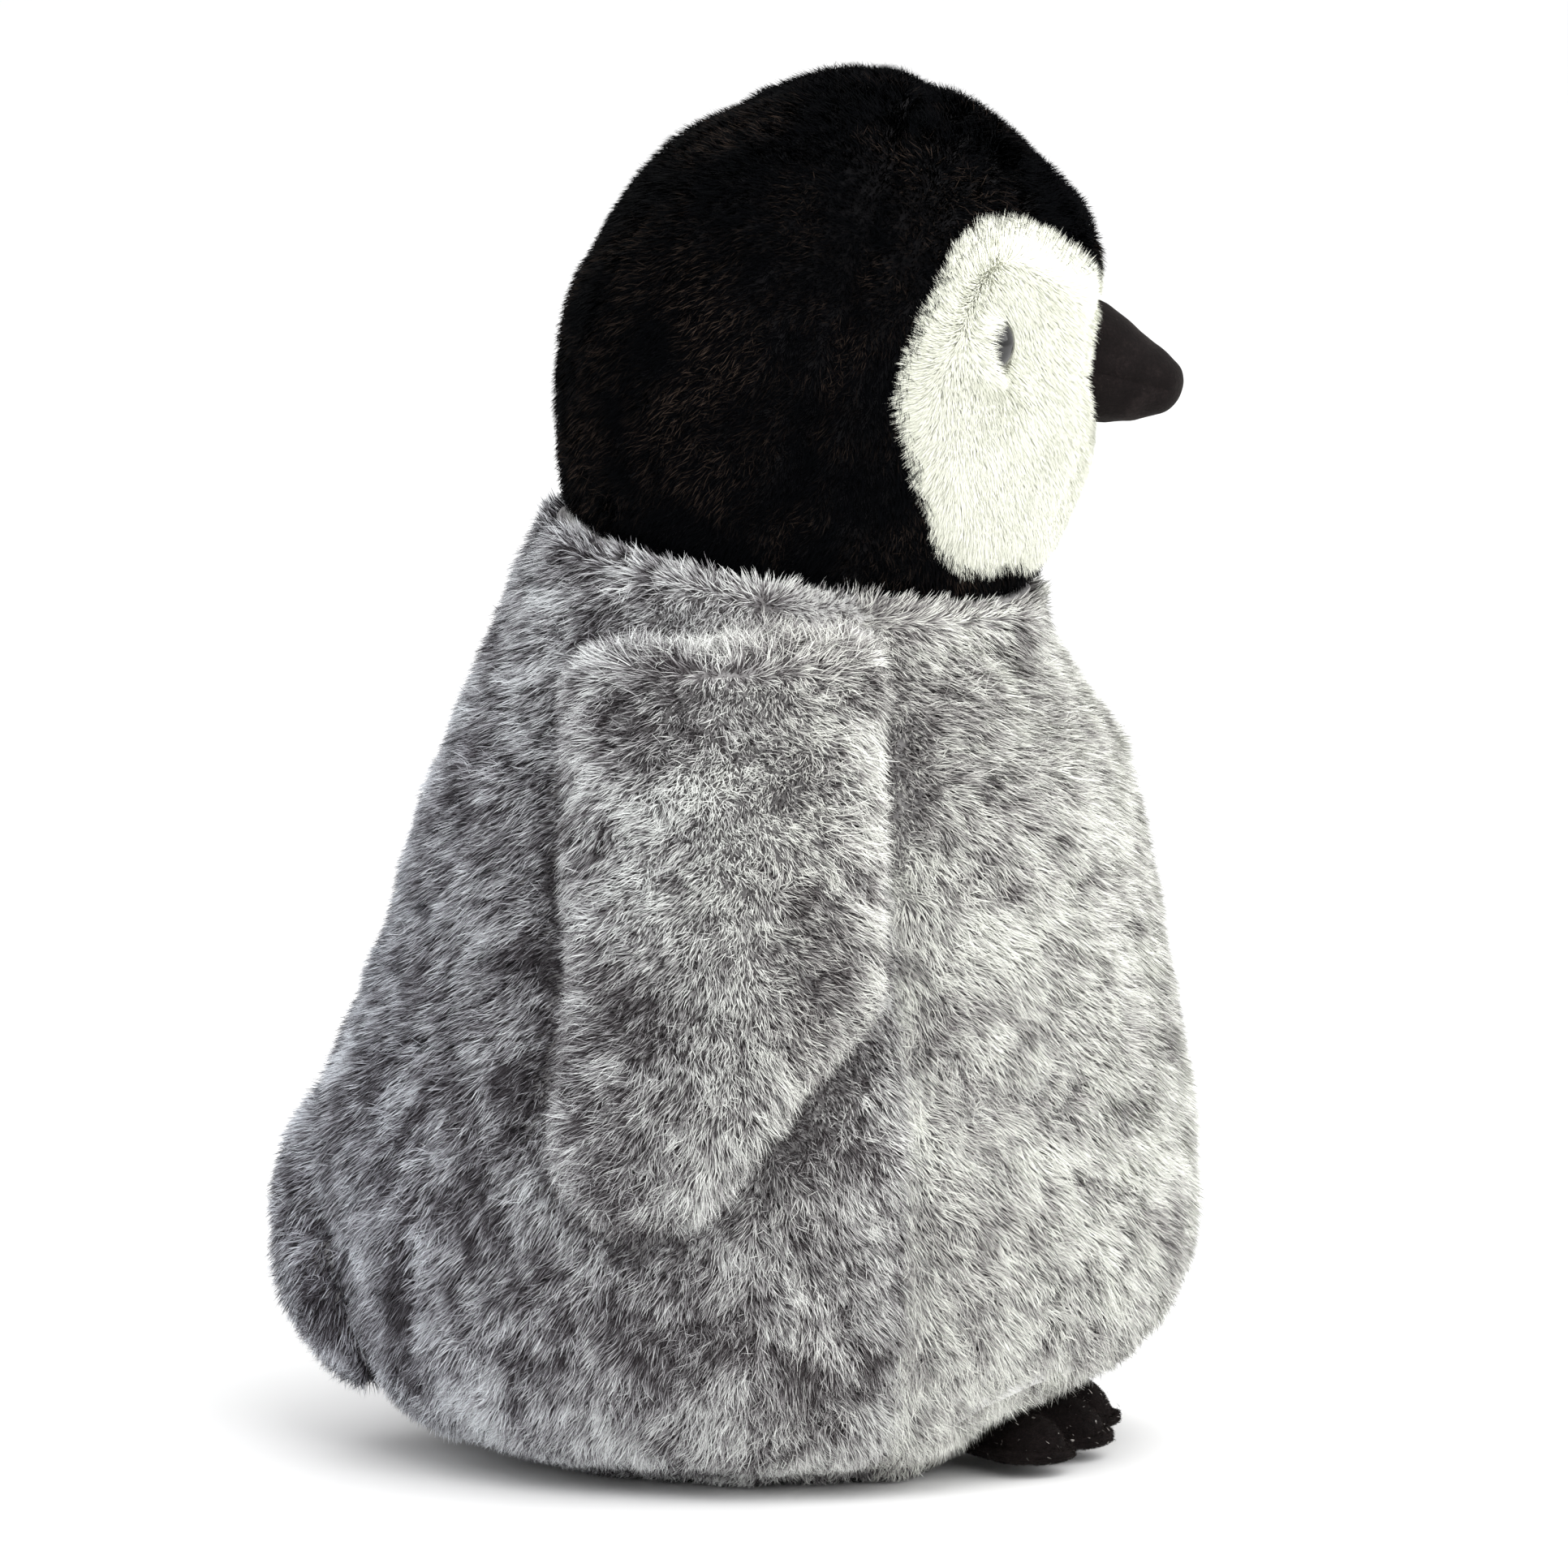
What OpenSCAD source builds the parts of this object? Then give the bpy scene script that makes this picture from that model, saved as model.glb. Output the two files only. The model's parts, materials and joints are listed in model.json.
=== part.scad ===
// Plush penguin chick: sewn plush panels over fibre stuffing, with a pellet
// pouch in the base, felt beak and feet, and eyes held by lock washers.
// +Z is up, the penguin faces -Y, its left side is +X. The origin is the
// middle of the flat base, on the surface that the toy stands on.
// A plush panel's thickness counts its backing and its pile together.

/* [Body] */
// Radius of the flat base
base_r = 60; // [58:1:64]
// Widest radius of the body, pile included
belly_r = 92; // [90:1:95]
// Height of the widest ring above the floor
belly_z = 52; // [48:1:56]
// Thickness of a body panel, backing and pile
body_wall = 6; // [5:0.5:7]
// Half the angle that the belly panel covers, in degrees
belly_half_angle = 68; // [60:1:74]

/* [Head] */
// Radius of the round top of the head, pile included
head_r = 60.5; // [59.5:0.5:62]
// Radius of the head at the neck seam
neck_r = 52.4; // [51.6:0.2:53]
// Height of the head's widest ring above the neck seam, along the head's axis
head_rise = 46.4; // [45.4:0.2:47.4]
// Thickness of a head panel, backing and pile
head_wall = 5; // [4:0.5:6]
// Forward lean of the head's axis, in degrees
head_lean = 9.3; // [8:0.1:11]

/* [Beak and eyes] */
// Length of the beak from its root in the face seam to its tip
beak_length = 28; // [26:0.5:30]
// Radius of the beak at its root
beak_r = 13.5; // [12.5:0.1:14]
// Thickness of the beak's and the feet's felt
felt = 1.5; // [1.2:0.1:2]
// Diameter of an eye
eye_d = 12; // [10.5:0.5:12]
// Direction that an eye looks in, in degrees outward from straight ahead
eye_turn = 12; // [10:1:20]

/* [Flippers] */
// Height of the seam that a flipper hangs from
flipper_z = 189; // [187:1:190]
// Thickness of a flipper at its middle
flipper_t = 14; // [13:0.5:16]

/* [Feet and tail] */
// Thickness of a foot
foot_h = 10.5; // [9:0.5:11]
// Height of a foot's sole above the surface that the toy stands on
foot_z = 2.5; // [2:0.5:3]
// Distance between the middles of the two feet
foot_spacing = 45; // [44:1:48]
// Radius of the round tail
tail_r = 42; // [40:1:44]
// Half the width of the tail
tail_half_w = 27; // [24:1:30]

/* [Hidden] */

$fn = 64;

plush_black = "#16161a";
plush_grey = "#a3a3a6";
plush_pale = "#d8dbd6";
plush_white = "#f2f4ea";
felt_dark = "#2a2222";
fibre = "#f6f6f2";
hard_black = "#0a0a0a";
washer_white = "#e6e6e6";
pouch_cloth = "#c9c2b4";
pellet_blue = "#7fa4c8";

// Clearance between a panel and what fills it
fill_gap = 0.5;
// Half the gap at the neck seam, where the head turns on the body
neck_gap = 0.3;
// Middle of the neck seam
neck_y = -4.3;
neck_z = 198.7;
// Top of the body's outline, above the highest point of the slanted neck seam
collar_r = 51.8;
collar_z = 211;
// Thickness of the base panel and radius at which the side panels start
base_t = 5;
base_seam_r = base_r - 1.5;
base_front = -34;

// A cubic curve from p[0] to p[3] as n points, without its first point.
function curve(p, n) = [
    for (i = [1:n]) let (t = i / n, u = 1 - t)
        u*u*u*p[0] + 3*u*u*t*p[1] + 3*u*t*t*p[2] + t*t*t*p[3]
];
// The unit vector square to a-b that points to the left of the way from a to b.
function left_of(a, b) = let (d = b - a) [-d[1], d[0]] / norm(d);
// An open outline moved sideways by s, to its left where s is positive.
function shifted(pts, s) = [
    for (i = [0:len(pts) - 1])
        let (
            a = pts[max(i - 1, 0)],
            b = pts[min(i + 1, len(pts) - 1)]
        )
        pts[i] + s * left_of(a, b)
];
function reversed(pts) = [for (i = [len(pts) - 1:-1:0]) pts[i]];

// Outer outline of the body, from the edge of the base up to the collar.
body_side = concat(
    [[base_r, 0]],
    curve([[base_r, 0], [78, 0], [belly_r, 18], [belly_r, belly_z]], 7),
    curve([[belly_r, belly_z], [belly_r, 86], [87.5, 112], [81, 133.5]], 6),
    curve([[81, 133.5], [75.5, 151], [62, 178], [collar_r, collar_z]], 6)
);
// Outer outline of the head along its own axis, from the neck seam to the crown.
jaw_r = (pow(head_rise, 2) + pow(head_r - neck_r, 2)) / (2 * (head_r - neck_r));
jaw_angle = asin(head_rise / jaw_r);
crown_steps = 12;
head_side = concat(
    [for (i = [0:5]) let (a = jaw_angle * (1 - i / 6))
        [head_r - jaw_r + jaw_r * cos(a), head_rise - jaw_r * sin(a)]],
    [for (i = [0:crown_steps]) let (a = 90 * i / crown_steps)
        [head_r * cos(a), head_rise + head_r * sin(a)]]
);

// Places its children in the head's own frame: origin at the neck seam, +Z along the axis.
module in_head() {
    translate([0, neck_y, neck_z]) rotate([head_lean, 0, 0]) children();
}
// Keeps the part of its children that is below the neck seam.
module below_neck(gap) {
    intersection() {
        children();
        in_head() translate([-150, -150, -300 - gap]) cube([300, 300, 300]);
    }
}
// A turn of a 2-D section about +Z, from angle a0 over the given sweep.
module swept(a0, sweep) {
    rotate([0, 0, a0]) rotate_extrude(angle = sweep) children();
}

// ---- body ----

// The space under the front of the belly that the feet stand in, grown by s: its roof
// rises from the floor to the middle of the feet, and on up to the front of the belly.
hollow_roof = concat(
    [[33, -4]],
    curve([[33, -4], [40, 8], [52, 17], [72, 19]], 5),
    curve([[72, 19], [81, 20], [87, 30], [98, 56]], 4)
);
module foot_hollow(s) {
    roof = shifted(hollow_roof, s);
    rotate([90, 0, -90]) linear_extrude(260, center = true)
        polygon(concat(roof, [[130, 56], [130, -10], [roof[0][0], -10]]));
}
// Full body within the outline moved inward by s and above height z0, up to the collar.
module body_solid(s, z0) {
    difference() {
        rotate_extrude() polygon(concat(
            [[0, 0]], shifted(body_side, s), [[0, collar_z]]
        ));
        translate([-100, -100, z0 - 20]) cube([200, 200, 20]);
        foot_hollow(s);
    }
}
// The round base with a straight front edge, between two heights.
module base_region(r, z0, z1) {
    intersection() {
        translate([0, 0, z0]) cylinder(r = r, h = z1 - z0);
        translate([-100, base_front, z0 - 1]) cube([200, 200, z1 - z0 + 2]);
    }
}
// One side panel: a sector of the body from angle a0, without its inside, the base
// panel, the hollow and the seats of the feet.
module body_panel(a0, sweep) {
    below_neck(neck_gap) difference() {
        swept(a0, sweep) polygon(concat([[0, 0]], body_side, [[0, collar_z]]));
        body_solid(body_wall, base_t);
        foot_hollow(0);
        base_region(base_seam_r, -1, base_t + 1);
        foot_pockets();
    }
}
module belly_panel() {
    color(plush_pale) body_panel(270 - belly_half_angle, 2 * belly_half_angle);
}
module back_panel_left() {
    color(plush_grey) body_panel(belly_half_angle - 90, 180 - belly_half_angle);
}
module back_panel_right() {
    color(plush_grey) body_panel(90, 180 - belly_half_angle);
}
module base_panel() {
    color(plush_grey) difference() {
        base_region(base_seam_r - 0.3, 0, base_t);
        foot_hollow(0);
    }
}

pouch_r = 46;
pouch_h = 26;
pouch_z = base_t + 1;
pouch_wall = 1;
module bean_pouch() {
    color(pouch_cloth) translate([0, 10, pouch_z]) difference() {
        puck(pouch_r, pouch_h);
        translate([0, 0, pouch_wall]) puck(pouch_r - pouch_wall, pouch_h - 2 * pouch_wall);
    }
}
module bean_pellets() {
    s = pouch_wall + 0.3;
    color(pellet_blue) translate([0, 10, pouch_z + s]) puck(pouch_r - s, pouch_h - 2 * s);
}
// A flat round cushion with rounded edges.
module puck(r, h) {
    e = h / 2;
    rotate_extrude() intersection() {
        square([r, h]);
        union() {
            square([r - e, h]);
            translate([r - e, e]) circle(r = e);
        }
    }
}
module body_stuffing() {
    color(fibre) below_neck(neck_gap) difference() {
        body_solid(body_wall + fill_gap, base_t + fill_gap);
        translate([0, 10, pouch_z - fill_gap]) puck(pouch_r + fill_gap, pouch_h + 2 * fill_gap);
        foot_pockets();
    }
}

// ---- tail ----

tail_y = 70;
tail_z = 50;
// A round stub tail, flattened from both sides, moved inward by s.
module tail_form(s) {
    side_r = 60;
    difference() {
        intersection() {
            translate([0, tail_y, tail_z]) sphere(r = tail_r - s);
            translate([side_r - tail_half_w, tail_y + 8, 0])
                cylinder(r = side_r - s, h = 120);
            translate([tail_half_w - side_r, tail_y + 8, 0])
                cylinder(r = side_r - s, h = 120);
        }
        rotate_extrude() polygon(concat(
            [[0, -1]], [[base_r, -1]], shifted(body_side, -0.4 - s), [[0, collar_z]]
        ));
    }
}
module tail_shell() {
    difference() {
        tail_form(0);
        tail_form(body_wall - 1);
    }
}
module tail_upper() {
    color(plush_grey) intersection() {
        tail_shell();
        translate([-60, 0, tail_z]) cube([120, 160, 80]);
    }
}
module tail_lower() {
    color(plush_grey) intersection() {
        tail_shell();
        translate([-60, 0, tail_z - 80]) cube([120, 160, 80]);
    }
}
module tail_stuffing() {
    color(fibre) tail_form(body_wall - 1 + fill_gap);
}

// ---- feet ----

// Outline of the left foot from above, about its own middle: heel, inner toe and outer toe.
heel = [0, -48];
inner_toe = [-10, -63];
outer_toe = [10.5, -57.5];
module foot_outline(s) {
    for (toe = [[inner_toe, 11], [outer_toe, 9.5]]) hull() {
        translate(heel) circle(r = 8 - s, $fn = 32);
        translate(toe[0]) circle(r = toe[1] - s, $fn = 32);
    }
}
// side is -1 for the right foot and 1 for the left one.
module at_foot(side) {
    mirror([side < 0 ? 1 : 0, 0, 0]) translate([foot_spacing / 2, 0, foot_z]) children();
}
module foot_pockets() {
    for (side = [-1, 1])
        at_foot(side) translate([0, 0, -0.4])
            linear_extrude(foot_h + 0.8) foot_outline(-0.4);
}
module foot_upper(side) {
    color(felt_dark) at_foot(side) difference() {
        translate([0, 0, felt]) linear_extrude(foot_h - felt) foot_outline(0);
        translate([0, 0, felt - 1]) linear_extrude(foot_h - 2 * felt + 1) foot_outline(felt);
    }
}
module foot_sole(side) {
    color(felt_dark) at_foot(side) linear_extrude(felt) foot_outline(0);
}
module foot_stuffing(side) {
    s = felt + 0.3;
    color(fibre) at_foot(side) translate([0, 0, s])
        linear_extrude(foot_h - 2 * s) foot_outline(s);
}

// ---- head ----

module head_section() {
    inner = shifted(head_side, head_wall);
    last = len(inner) - 1;
    polygon(concat(
        [[neck_r, neck_gap]],
        [for (p = head_side) if (p[1] > neck_gap) p],
        [[0, head_rise + head_r - head_wall]],
        [for (i = [last - 1:-1:0]) if (inner[i][1] > neck_gap) inner[i]],
        [[neck_r - head_wall, neck_gap]]
    ));
}
module head_core(s, z0) {
    inner = shifted(head_side, s);
    last = len(inner) - 1;
    rotate_extrude() polygon(concat(
        [[0, z0], [neck_r - s, z0]],
        [for (i = [0:last - 1]) if (inner[i][1] > z0) inner[i]],
        [[0, head_rise + head_r - s]]
    ));
}
module head_back_left() {
    color(plush_black) in_head() swept(0, 90) head_section();
}
module head_back_right() {
    color(plush_black) in_head() swept(90, 90) head_section();
}

// Outline of the left white face patch, seen square to its middle in the head's frame:
// the first coordinate runs backward round the cheek and the second one up.
patch_turn = 40;
module face_outline() {
    hull() {
        translate([3, 48]) circle(r = 24, $fn = 40);
        translate([-2, 28]) circle(r = 18.5, $fn = 40);
        translate([0, 60.5]) circle(r = 21, $fn = 40);
        translate([-37, 60]) circle(r = 5, $fn = 24);
        translate([-40, 14]) circle(r = 5, $fn = 24);
    }
}
// Cuts a face patch's outline through the front of the head. side is 1 for the left.
module face_cutter(side) {
    mirror([side < 0 ? 1 : 0, 0, 0]) intersection() {
        rotate([90, 0, patch_turn]) translate([0, 0, 10])
            linear_extrude(70) face_outline();
        translate([0, -100, 0]) cube([100, 100, 120]);
    }
}
module head_front() {
    color(plush_black) difference() {
        in_head() difference() {
            swept(180, 180) head_section();
            face_cutter(1);
            face_cutter(-1);
        }
        beak_form(-0.2);
    }
}
module face_panel(side) {
    color(plush_white) difference() {
        in_head() intersection() {
            swept(180, 180) head_section();
            face_cutter(side);
        }
        beak_form(-0.2);
        at_eye(side) translate([0, 0, -1]) cylinder(d = eye_d + 1, h = 20);
        at_eye(side) translate([0, 0, -20]) cylinder(r = shank_r + 0.2, h = 40);
    }
}
module head_stuffing() {
    color(fibre) difference() {
        in_head() head_core(head_wall + fill_gap, neck_gap);
        beak_form(-0.5);
        for (side = [-1, 1]) at_eye(side) {
            translate([0, 0, -20]) cylinder(r = washer_r + 0.5, h = 30);
        }
    }
}

// ---- beak ----

beak_pos = [0, -61.4, 242.8];
beak_droop = 16.5;
module in_beak() {
    translate(beak_pos) rotate([90 + beak_droop, 0, 0]) children();
}
// Outline of the beak from its root to its tip, moved inward by s.
function beak_side(s) = let (l = beak_length - s, r = beak_r - s) concat(
    [[r, s < 0 ? -1 : 0]],
    curve([[r, 0], [r, l * 0.38], [r * 0.76, l * 0.66], [r * 0.5, l * 0.87]], 6),
    curve([[r * 0.5, l * 0.87], [r * 0.4, l * 0.96], [r * 0.2, l], [0, l]], 4)
);
module beak_form(s) {
    in_beak() rotate_extrude() polygon(concat([[0, s < 0 ? -1 : 0]], beak_side(s)));
}
// The felt of the beak, over a half turn that starts at a0.
module beak_half(a0) {
    color(felt_dark) in_beak() difference() {
        swept(a0, 180) polygon(concat([[0, 0]], beak_side(0)));
        swept(a0 - 5, 190) polygon(concat([[0, -1]], beak_side(felt)));
        translate([0, 0, -0.5]) cylinder(r = beak_r - felt, h = 1);
    }
}
module beak_upper() {
    beak_half(0);
}
module beak_lower() {
    beak_half(180);
}
module beak_stuffing() {
    color(fibre) in_beak() rotate_extrude() polygon(concat([[0, 0.2]], [
        for (p = beak_side(felt + 0.3)) [p[0], max(p[1], 0.2)]
    ]));
}

// ---- eyes ----

shank_r = 2;
washer_r = 7;
washer_t = 1.2;
washer_back = 10.6; // from the fabric behind the eye to the washer's far face
shank_l = 12.4;
eye_depth = 54;
eye_place = 47;
eye_rise = 58;
// Frame of an eye: origin on the fabric behind it, +Z the way it looks. side is 1 for the left.
module at_eye(side) {
    in_head() translate([
        side * eye_depth * sin(eye_place), -eye_depth * cos(eye_place), eye_rise
    ]) rotate([90, 0, side * eye_turn]) children();
}
module eye(side) {
    dome_r = 7.4;
    rim = 1;
    sunk = sqrt(dome_r * dome_r - eye_d * eye_d / 4);
    color(hard_black) at_eye(side) {
        cylinder(d = eye_d, h = rim);
        translate([0, 0, -shank_l]) cylinder(r = shank_r, h = shank_l + 0.5);
        intersection() {
            translate([0, 0, rim - sunk]) sphere(r = dome_r);
            translate([0, 0, rim]) cylinder(d = eye_d, h = 8);
        }
    }
}
module eye_washer(side) {
    color(washer_white) at_eye(side) translate([0, 0, -washer_back]) difference() {
        cylinder(r = washer_r, h = washer_t);
        translate([0, 0, -1]) cylinder(r = shank_r + 0.02, h = washer_t + 2);
    }
}

// ---- flippers ----

// Outline of a flipper seen from its side: forward and up from the floor.
flipper_inset = 4;
module flipper_outline(s) {
    hull() {
        translate([17, flipper_z - 13]) circle(r = 13 - s, $fn = 32);
        translate([-31, flipper_z - 13]) circle(r = 13 - s, $fn = 32);
        translate([9, 118]) circle(r = 20 - s, $fn = 40);
        translate([-21, 83]) circle(r = 22 - s, $fn = 40);
    }
}
// A layer of the right flipper that follows the body, from a to b outside the body's outline.
flipper_gap = 0.8;
flipper_curl = 18;
module flipper_layer(a, b, s) {
    section = [for (p = body_side) if (p[1] > 30) p];
    near = [for (p = shifted(section, -flipper_gap - a)) p + [flipper_curl, 0]];
    far = [for (p = shifted(section, -flipper_gap - b)) p + [flipper_curl, 0]];
    intersection() {
        translate([flipper_curl, 0, 0]) swept(145, 70)
            polygon(concat(near, reversed(far)));
        rotate([90, 0, -90]) translate([0, 0, 20])
            linear_extrude(120) flipper_outline(s);
    }
}
module flipper_sides(side) {
    mirror([side > 0 ? 1 : 0, 0, 0]) children();
}
flipper_mid = flipper_t * 0.45;
module flipper_cavity(s) {
    flipper_layer(flipper_inset + s, flipper_t - flipper_inset - s, flipper_inset + s);
}
module flipper_outer(side) {
    color(plush_grey) flipper_sides(side) difference() {
        flipper_layer(flipper_mid, flipper_t, 0);
        flipper_cavity(0);
    }
}
module flipper_inner(side) {
    color(plush_grey) flipper_sides(side) difference() {
        flipper_layer(0, flipper_mid, 0);
        flipper_cavity(0);
    }
}
module flipper_wadding(side) {
    color(fibre) flipper_sides(side) flipper_cavity(0.3);
}

belly_panel();
back_panel_left();
back_panel_right();
base_panel();
body_stuffing();
bean_pouch();
bean_pellets();
tail_upper();
tail_lower();
tail_stuffing();
foot_upper(1);  // foot_upper_left
foot_sole(1);  // foot_sole_left
foot_stuffing(1);  // foot_stuffing_left
foot_upper(-1);  // foot_upper_right
foot_sole(-1);  // foot_sole_right
foot_stuffing(-1);  // foot_stuffing_right
head_front();
head_back_left();
head_back_right();
face_panel(1);  // face_left
face_panel(-1);  // face_right
head_stuffing();
beak_upper();
beak_lower();
beak_stuffing();
eye(1);  // eye_left
eye_washer(1);  // eye_washer_left
eye(-1);  // eye_right
eye_washer(-1);  // eye_washer_right
flipper_outer(1);  // flipper_outer_left
flipper_inner(1);  // flipper_inner_left
flipper_wadding(1);  // flipper_wadding_left
flipper_outer(-1);  // flipper_outer_right
flipper_inner(-1);  // flipper_inner_right
flipper_wadding(-1);  // flipper_wadding_right
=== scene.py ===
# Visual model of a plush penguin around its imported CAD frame. Metres, +Z up, the front faces -Y.
import json
import math

import bmesh
import bpy
import numpy as np
from mathutils import Matrix, Vector
from mathutils.bvhtree import BVHTree
from mathutils.geometry import delaunay_2d_cdt


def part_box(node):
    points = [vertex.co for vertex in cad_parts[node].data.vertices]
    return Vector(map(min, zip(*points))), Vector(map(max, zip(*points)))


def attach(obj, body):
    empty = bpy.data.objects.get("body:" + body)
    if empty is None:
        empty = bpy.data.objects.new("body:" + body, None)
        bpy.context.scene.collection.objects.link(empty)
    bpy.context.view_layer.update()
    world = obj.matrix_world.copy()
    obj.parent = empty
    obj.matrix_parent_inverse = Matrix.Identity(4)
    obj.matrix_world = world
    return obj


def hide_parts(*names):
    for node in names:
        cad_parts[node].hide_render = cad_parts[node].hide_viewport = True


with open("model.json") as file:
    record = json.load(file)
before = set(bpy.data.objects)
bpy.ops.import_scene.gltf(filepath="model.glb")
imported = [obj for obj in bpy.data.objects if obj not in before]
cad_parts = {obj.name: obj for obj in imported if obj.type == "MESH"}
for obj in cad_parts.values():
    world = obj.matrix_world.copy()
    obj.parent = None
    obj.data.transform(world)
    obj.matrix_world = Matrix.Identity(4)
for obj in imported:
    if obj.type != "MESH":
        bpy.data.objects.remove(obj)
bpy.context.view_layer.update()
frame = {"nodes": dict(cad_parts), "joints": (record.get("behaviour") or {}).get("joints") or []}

MM = 0.001
scene = bpy.context.scene
JOINTS = {j["name"]: j for j in frame["joints"]}

# ---- numbers ----

BODY_PILE = 6.4 * MM
HEAD_PILE = 4.3 * MM
FACE_PILE = 4.8 * MM
BODY_WIDTH = 0.27 * MM
HEAD_WIDTH = 0.27 * MM
FACE_WIDTH = 0.23 * MM
BODY_DENSITY = 4.4e6  # strands to a square metre
HEAD_DENSITY = 5.0e6
FACE_DENSITY = 24.0e6
NAP_DENSITY = 14e6
STRANDS_PER_PIECE = 64000
BELLY_HALF_ANGLE = math.radians(68)
HEAD_R = 60.5 * MM
NECK_R = 52.4 * MM
HEAD_RISE = 46.4 * MM
HEAD_INSET = 4.4 * MM
PATCH_TURN = math.radians(40)
SEAM_LEAN, SEAM_Y = 0.13, 2 * MM  # the seam over the head, from side to side
UP = np.array([0.0, 0.0, 1.0])

# ---- arrays and noise ----

LATTICE = np.random.default_rng(11).random((32, 32, 32, 3)) * 2 - 1


def noise(points, size, seed=0.0):
    """Smooth random vectors, each part in -1 to 1, that change over about size metres."""
    q = points / size + seed * 7.31 + 100.0
    cell = np.floor(q).astype(int)
    f = q - cell
    f = f * f * (3 - 2 * f)
    out = np.zeros((len(points), 3))
    for corner in range(8):
        bits = np.array([(corner >> k) & 1 for k in range(3)])
        weight = np.prod(np.where(bits, f, 1 - f), axis=1)
        i, j, k = ((cell + bits) % 32).T
        out += weight[:, None] * LATTICE[i, j, k]
    return out


def dot(a, b):
    return np.sum(a * b, axis=-1, keepdims=True)


def unit(v):
    return v / np.maximum(np.linalg.norm(v, axis=-1, keepdims=True), 1e-12)


def smooth(x, low, high):
    t = np.clip((x - low) / (high - low), 0, 1)
    return t * t * (3 - 2 * t)


def coords(mesh):
    co = np.empty(len(mesh.vertices) * 3, np.float32)
    mesh.vertices.foreach_get("co", co)
    return co.reshape(-1, 3).astype(float)


def triangles(mesh):
    mesh.calc_loop_triangles()
    tri = np.empty(len(mesh.loop_triangles) * 3, np.int32)
    mesh.loop_triangles.foreach_get("vertices", tri)
    return tri.reshape(-1, 3)


def set_coords(mesh, co):
    mesh.vertices.foreach_set("co", co.astype(np.float32).ravel())
    mesh.update()


def across_faces(co, tri):
    return np.cross(co[tri[:, 1]] - co[tri[:, 0]], co[tri[:, 2]] - co[tri[:, 0]])


def vertex_normals(co, tri):
    facing = across_faces(co, tri)
    total = np.zeros_like(co)
    for k in range(3):
        for a in range(3):
            total[:, a] += np.bincount(tri[:, k], facing[:, a], len(co))
    return unit(total)


def relax(co, tri, rounds, pull=0.5):
    """Moves each point towards the middle of its neighbours."""
    pairs = np.concatenate([tri[:, [0, 1]], tri[:, [1, 2]], tri[:, [2, 0]]])
    i, j = np.unique(np.sort(pairs, axis=1), axis=0).T
    count = np.bincount(i, minlength=len(co)) + np.bincount(j, minlength=len(co))
    for _ in range(rounds):
        total = np.stack(
            [
                np.bincount(i, co[j, a], len(co)) + np.bincount(j, co[i, a], len(co))
                for a in range(3)
            ],
            axis=1,
        )
        co = co + pull * (total / np.maximum(count, 1)[:, None] - co)
    return co


# ---- making objects ----


def add_object(name, mesh):
    ob = bpy.data.objects.new(name, mesh)
    scene.collection.objects.link(ob)
    return ob


def mesh_of(name, co, faces):
    mesh = bpy.data.meshes.new(name)
    mesh.from_pydata([tuple(v) for v in co], [], [tuple(int(i) for i in f) for f in faces])
    mesh.update()
    mesh.shade_smooth()
    return mesh


def apply_all(ob):
    graph = bpy.context.evaluated_depsgraph_get()
    graph.update()
    mesh = bpy.data.meshes.new_from_object(ob.evaluated_get(graph))
    ob.modifiers.clear()
    old, ob.data = ob.data, mesh
    bpy.data.meshes.remove(old)


def remesh(ob, voxel):
    mod = ob.modifiers.new("remesh", "REMESH")
    mod.mode = "VOXEL"
    mod.voxel_size = voxel
    apply_all(ob)


def keep_largest(ob):
    """Drops every island of the mesh but the one with the most points."""
    bm = bmesh.new()
    bm.from_mesh(ob.data)
    left = set(bm.verts)
    best = set()
    while left:
        stack = [left.pop()]
        island = {stack[0]}
        while stack:
            for edge in stack.pop().link_edges:
                for v in edge.verts:
                    if v in left:
                        left.discard(v)
                        island.add(v)
                        stack.append(v)
        if len(island) > len(best):
            best = island
    bmesh.ops.delete(bm, geom=[v for v in bm.verts if v not in best], context="VERTS")
    bm.to_mesh(ob.data)
    bm.free()


def form_of(name, nodes, voxel, extra=None):
    """One closed form round these CAD nodes. extra is the middle and half sizes of a ball that joins them."""
    bm = bmesh.new()
    for node in nodes:
        bm.from_mesh(frame["nodes"][node].data)
    if extra is not None:
        middle, half = extra
        place = Matrix.Translation(middle) @ Matrix.Diagonal((*half, 1))
        bmesh.ops.create_uvsphere(bm, u_segments=32, v_segments=20, radius=1, matrix=place)
    mesh = bpy.data.meshes.new(name)
    bm.to_mesh(mesh)
    bm.free()
    mesh.materials.clear()
    ob = add_object(name, mesh)
    remesh(ob, voxel)
    keep_largest(ob)
    return ob


def puff(ob, pressure, cap, frames=16):
    """Swells a closed form with cloth under pressure. No point moves further than cap."""
    before = coords(ob.data)
    cloth = ob.modifiers.new("cloth", "CLOTH")
    cloth.settings.use_pressure = True
    cloth.settings.uniform_pressure_force = pressure
    cloth.settings.effector_weights.gravity = 0
    cloth.collision_settings.use_collision = False
    for step in range(1, frames + 1):
        scene.frame_set(step)
    graph = bpy.context.evaluated_depsgraph_get()
    after = coords(ob.evaluated_get(graph).data)
    ob.modifiers.clear()
    scene.frame_set(1)
    move = after - before
    far = np.linalg.norm(move, axis=1, keepdims=True)
    set_coords(ob.data, before + move * np.minimum(1, cap / np.maximum(far, 1e-9)))


def subdivide(ob, levels=1):
    mod = ob.modifiers.new("subdivision", "SUBSURF")
    mod.levels = mod.render_levels = levels
    apply_all(ob)


# ---- materials ----


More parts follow.
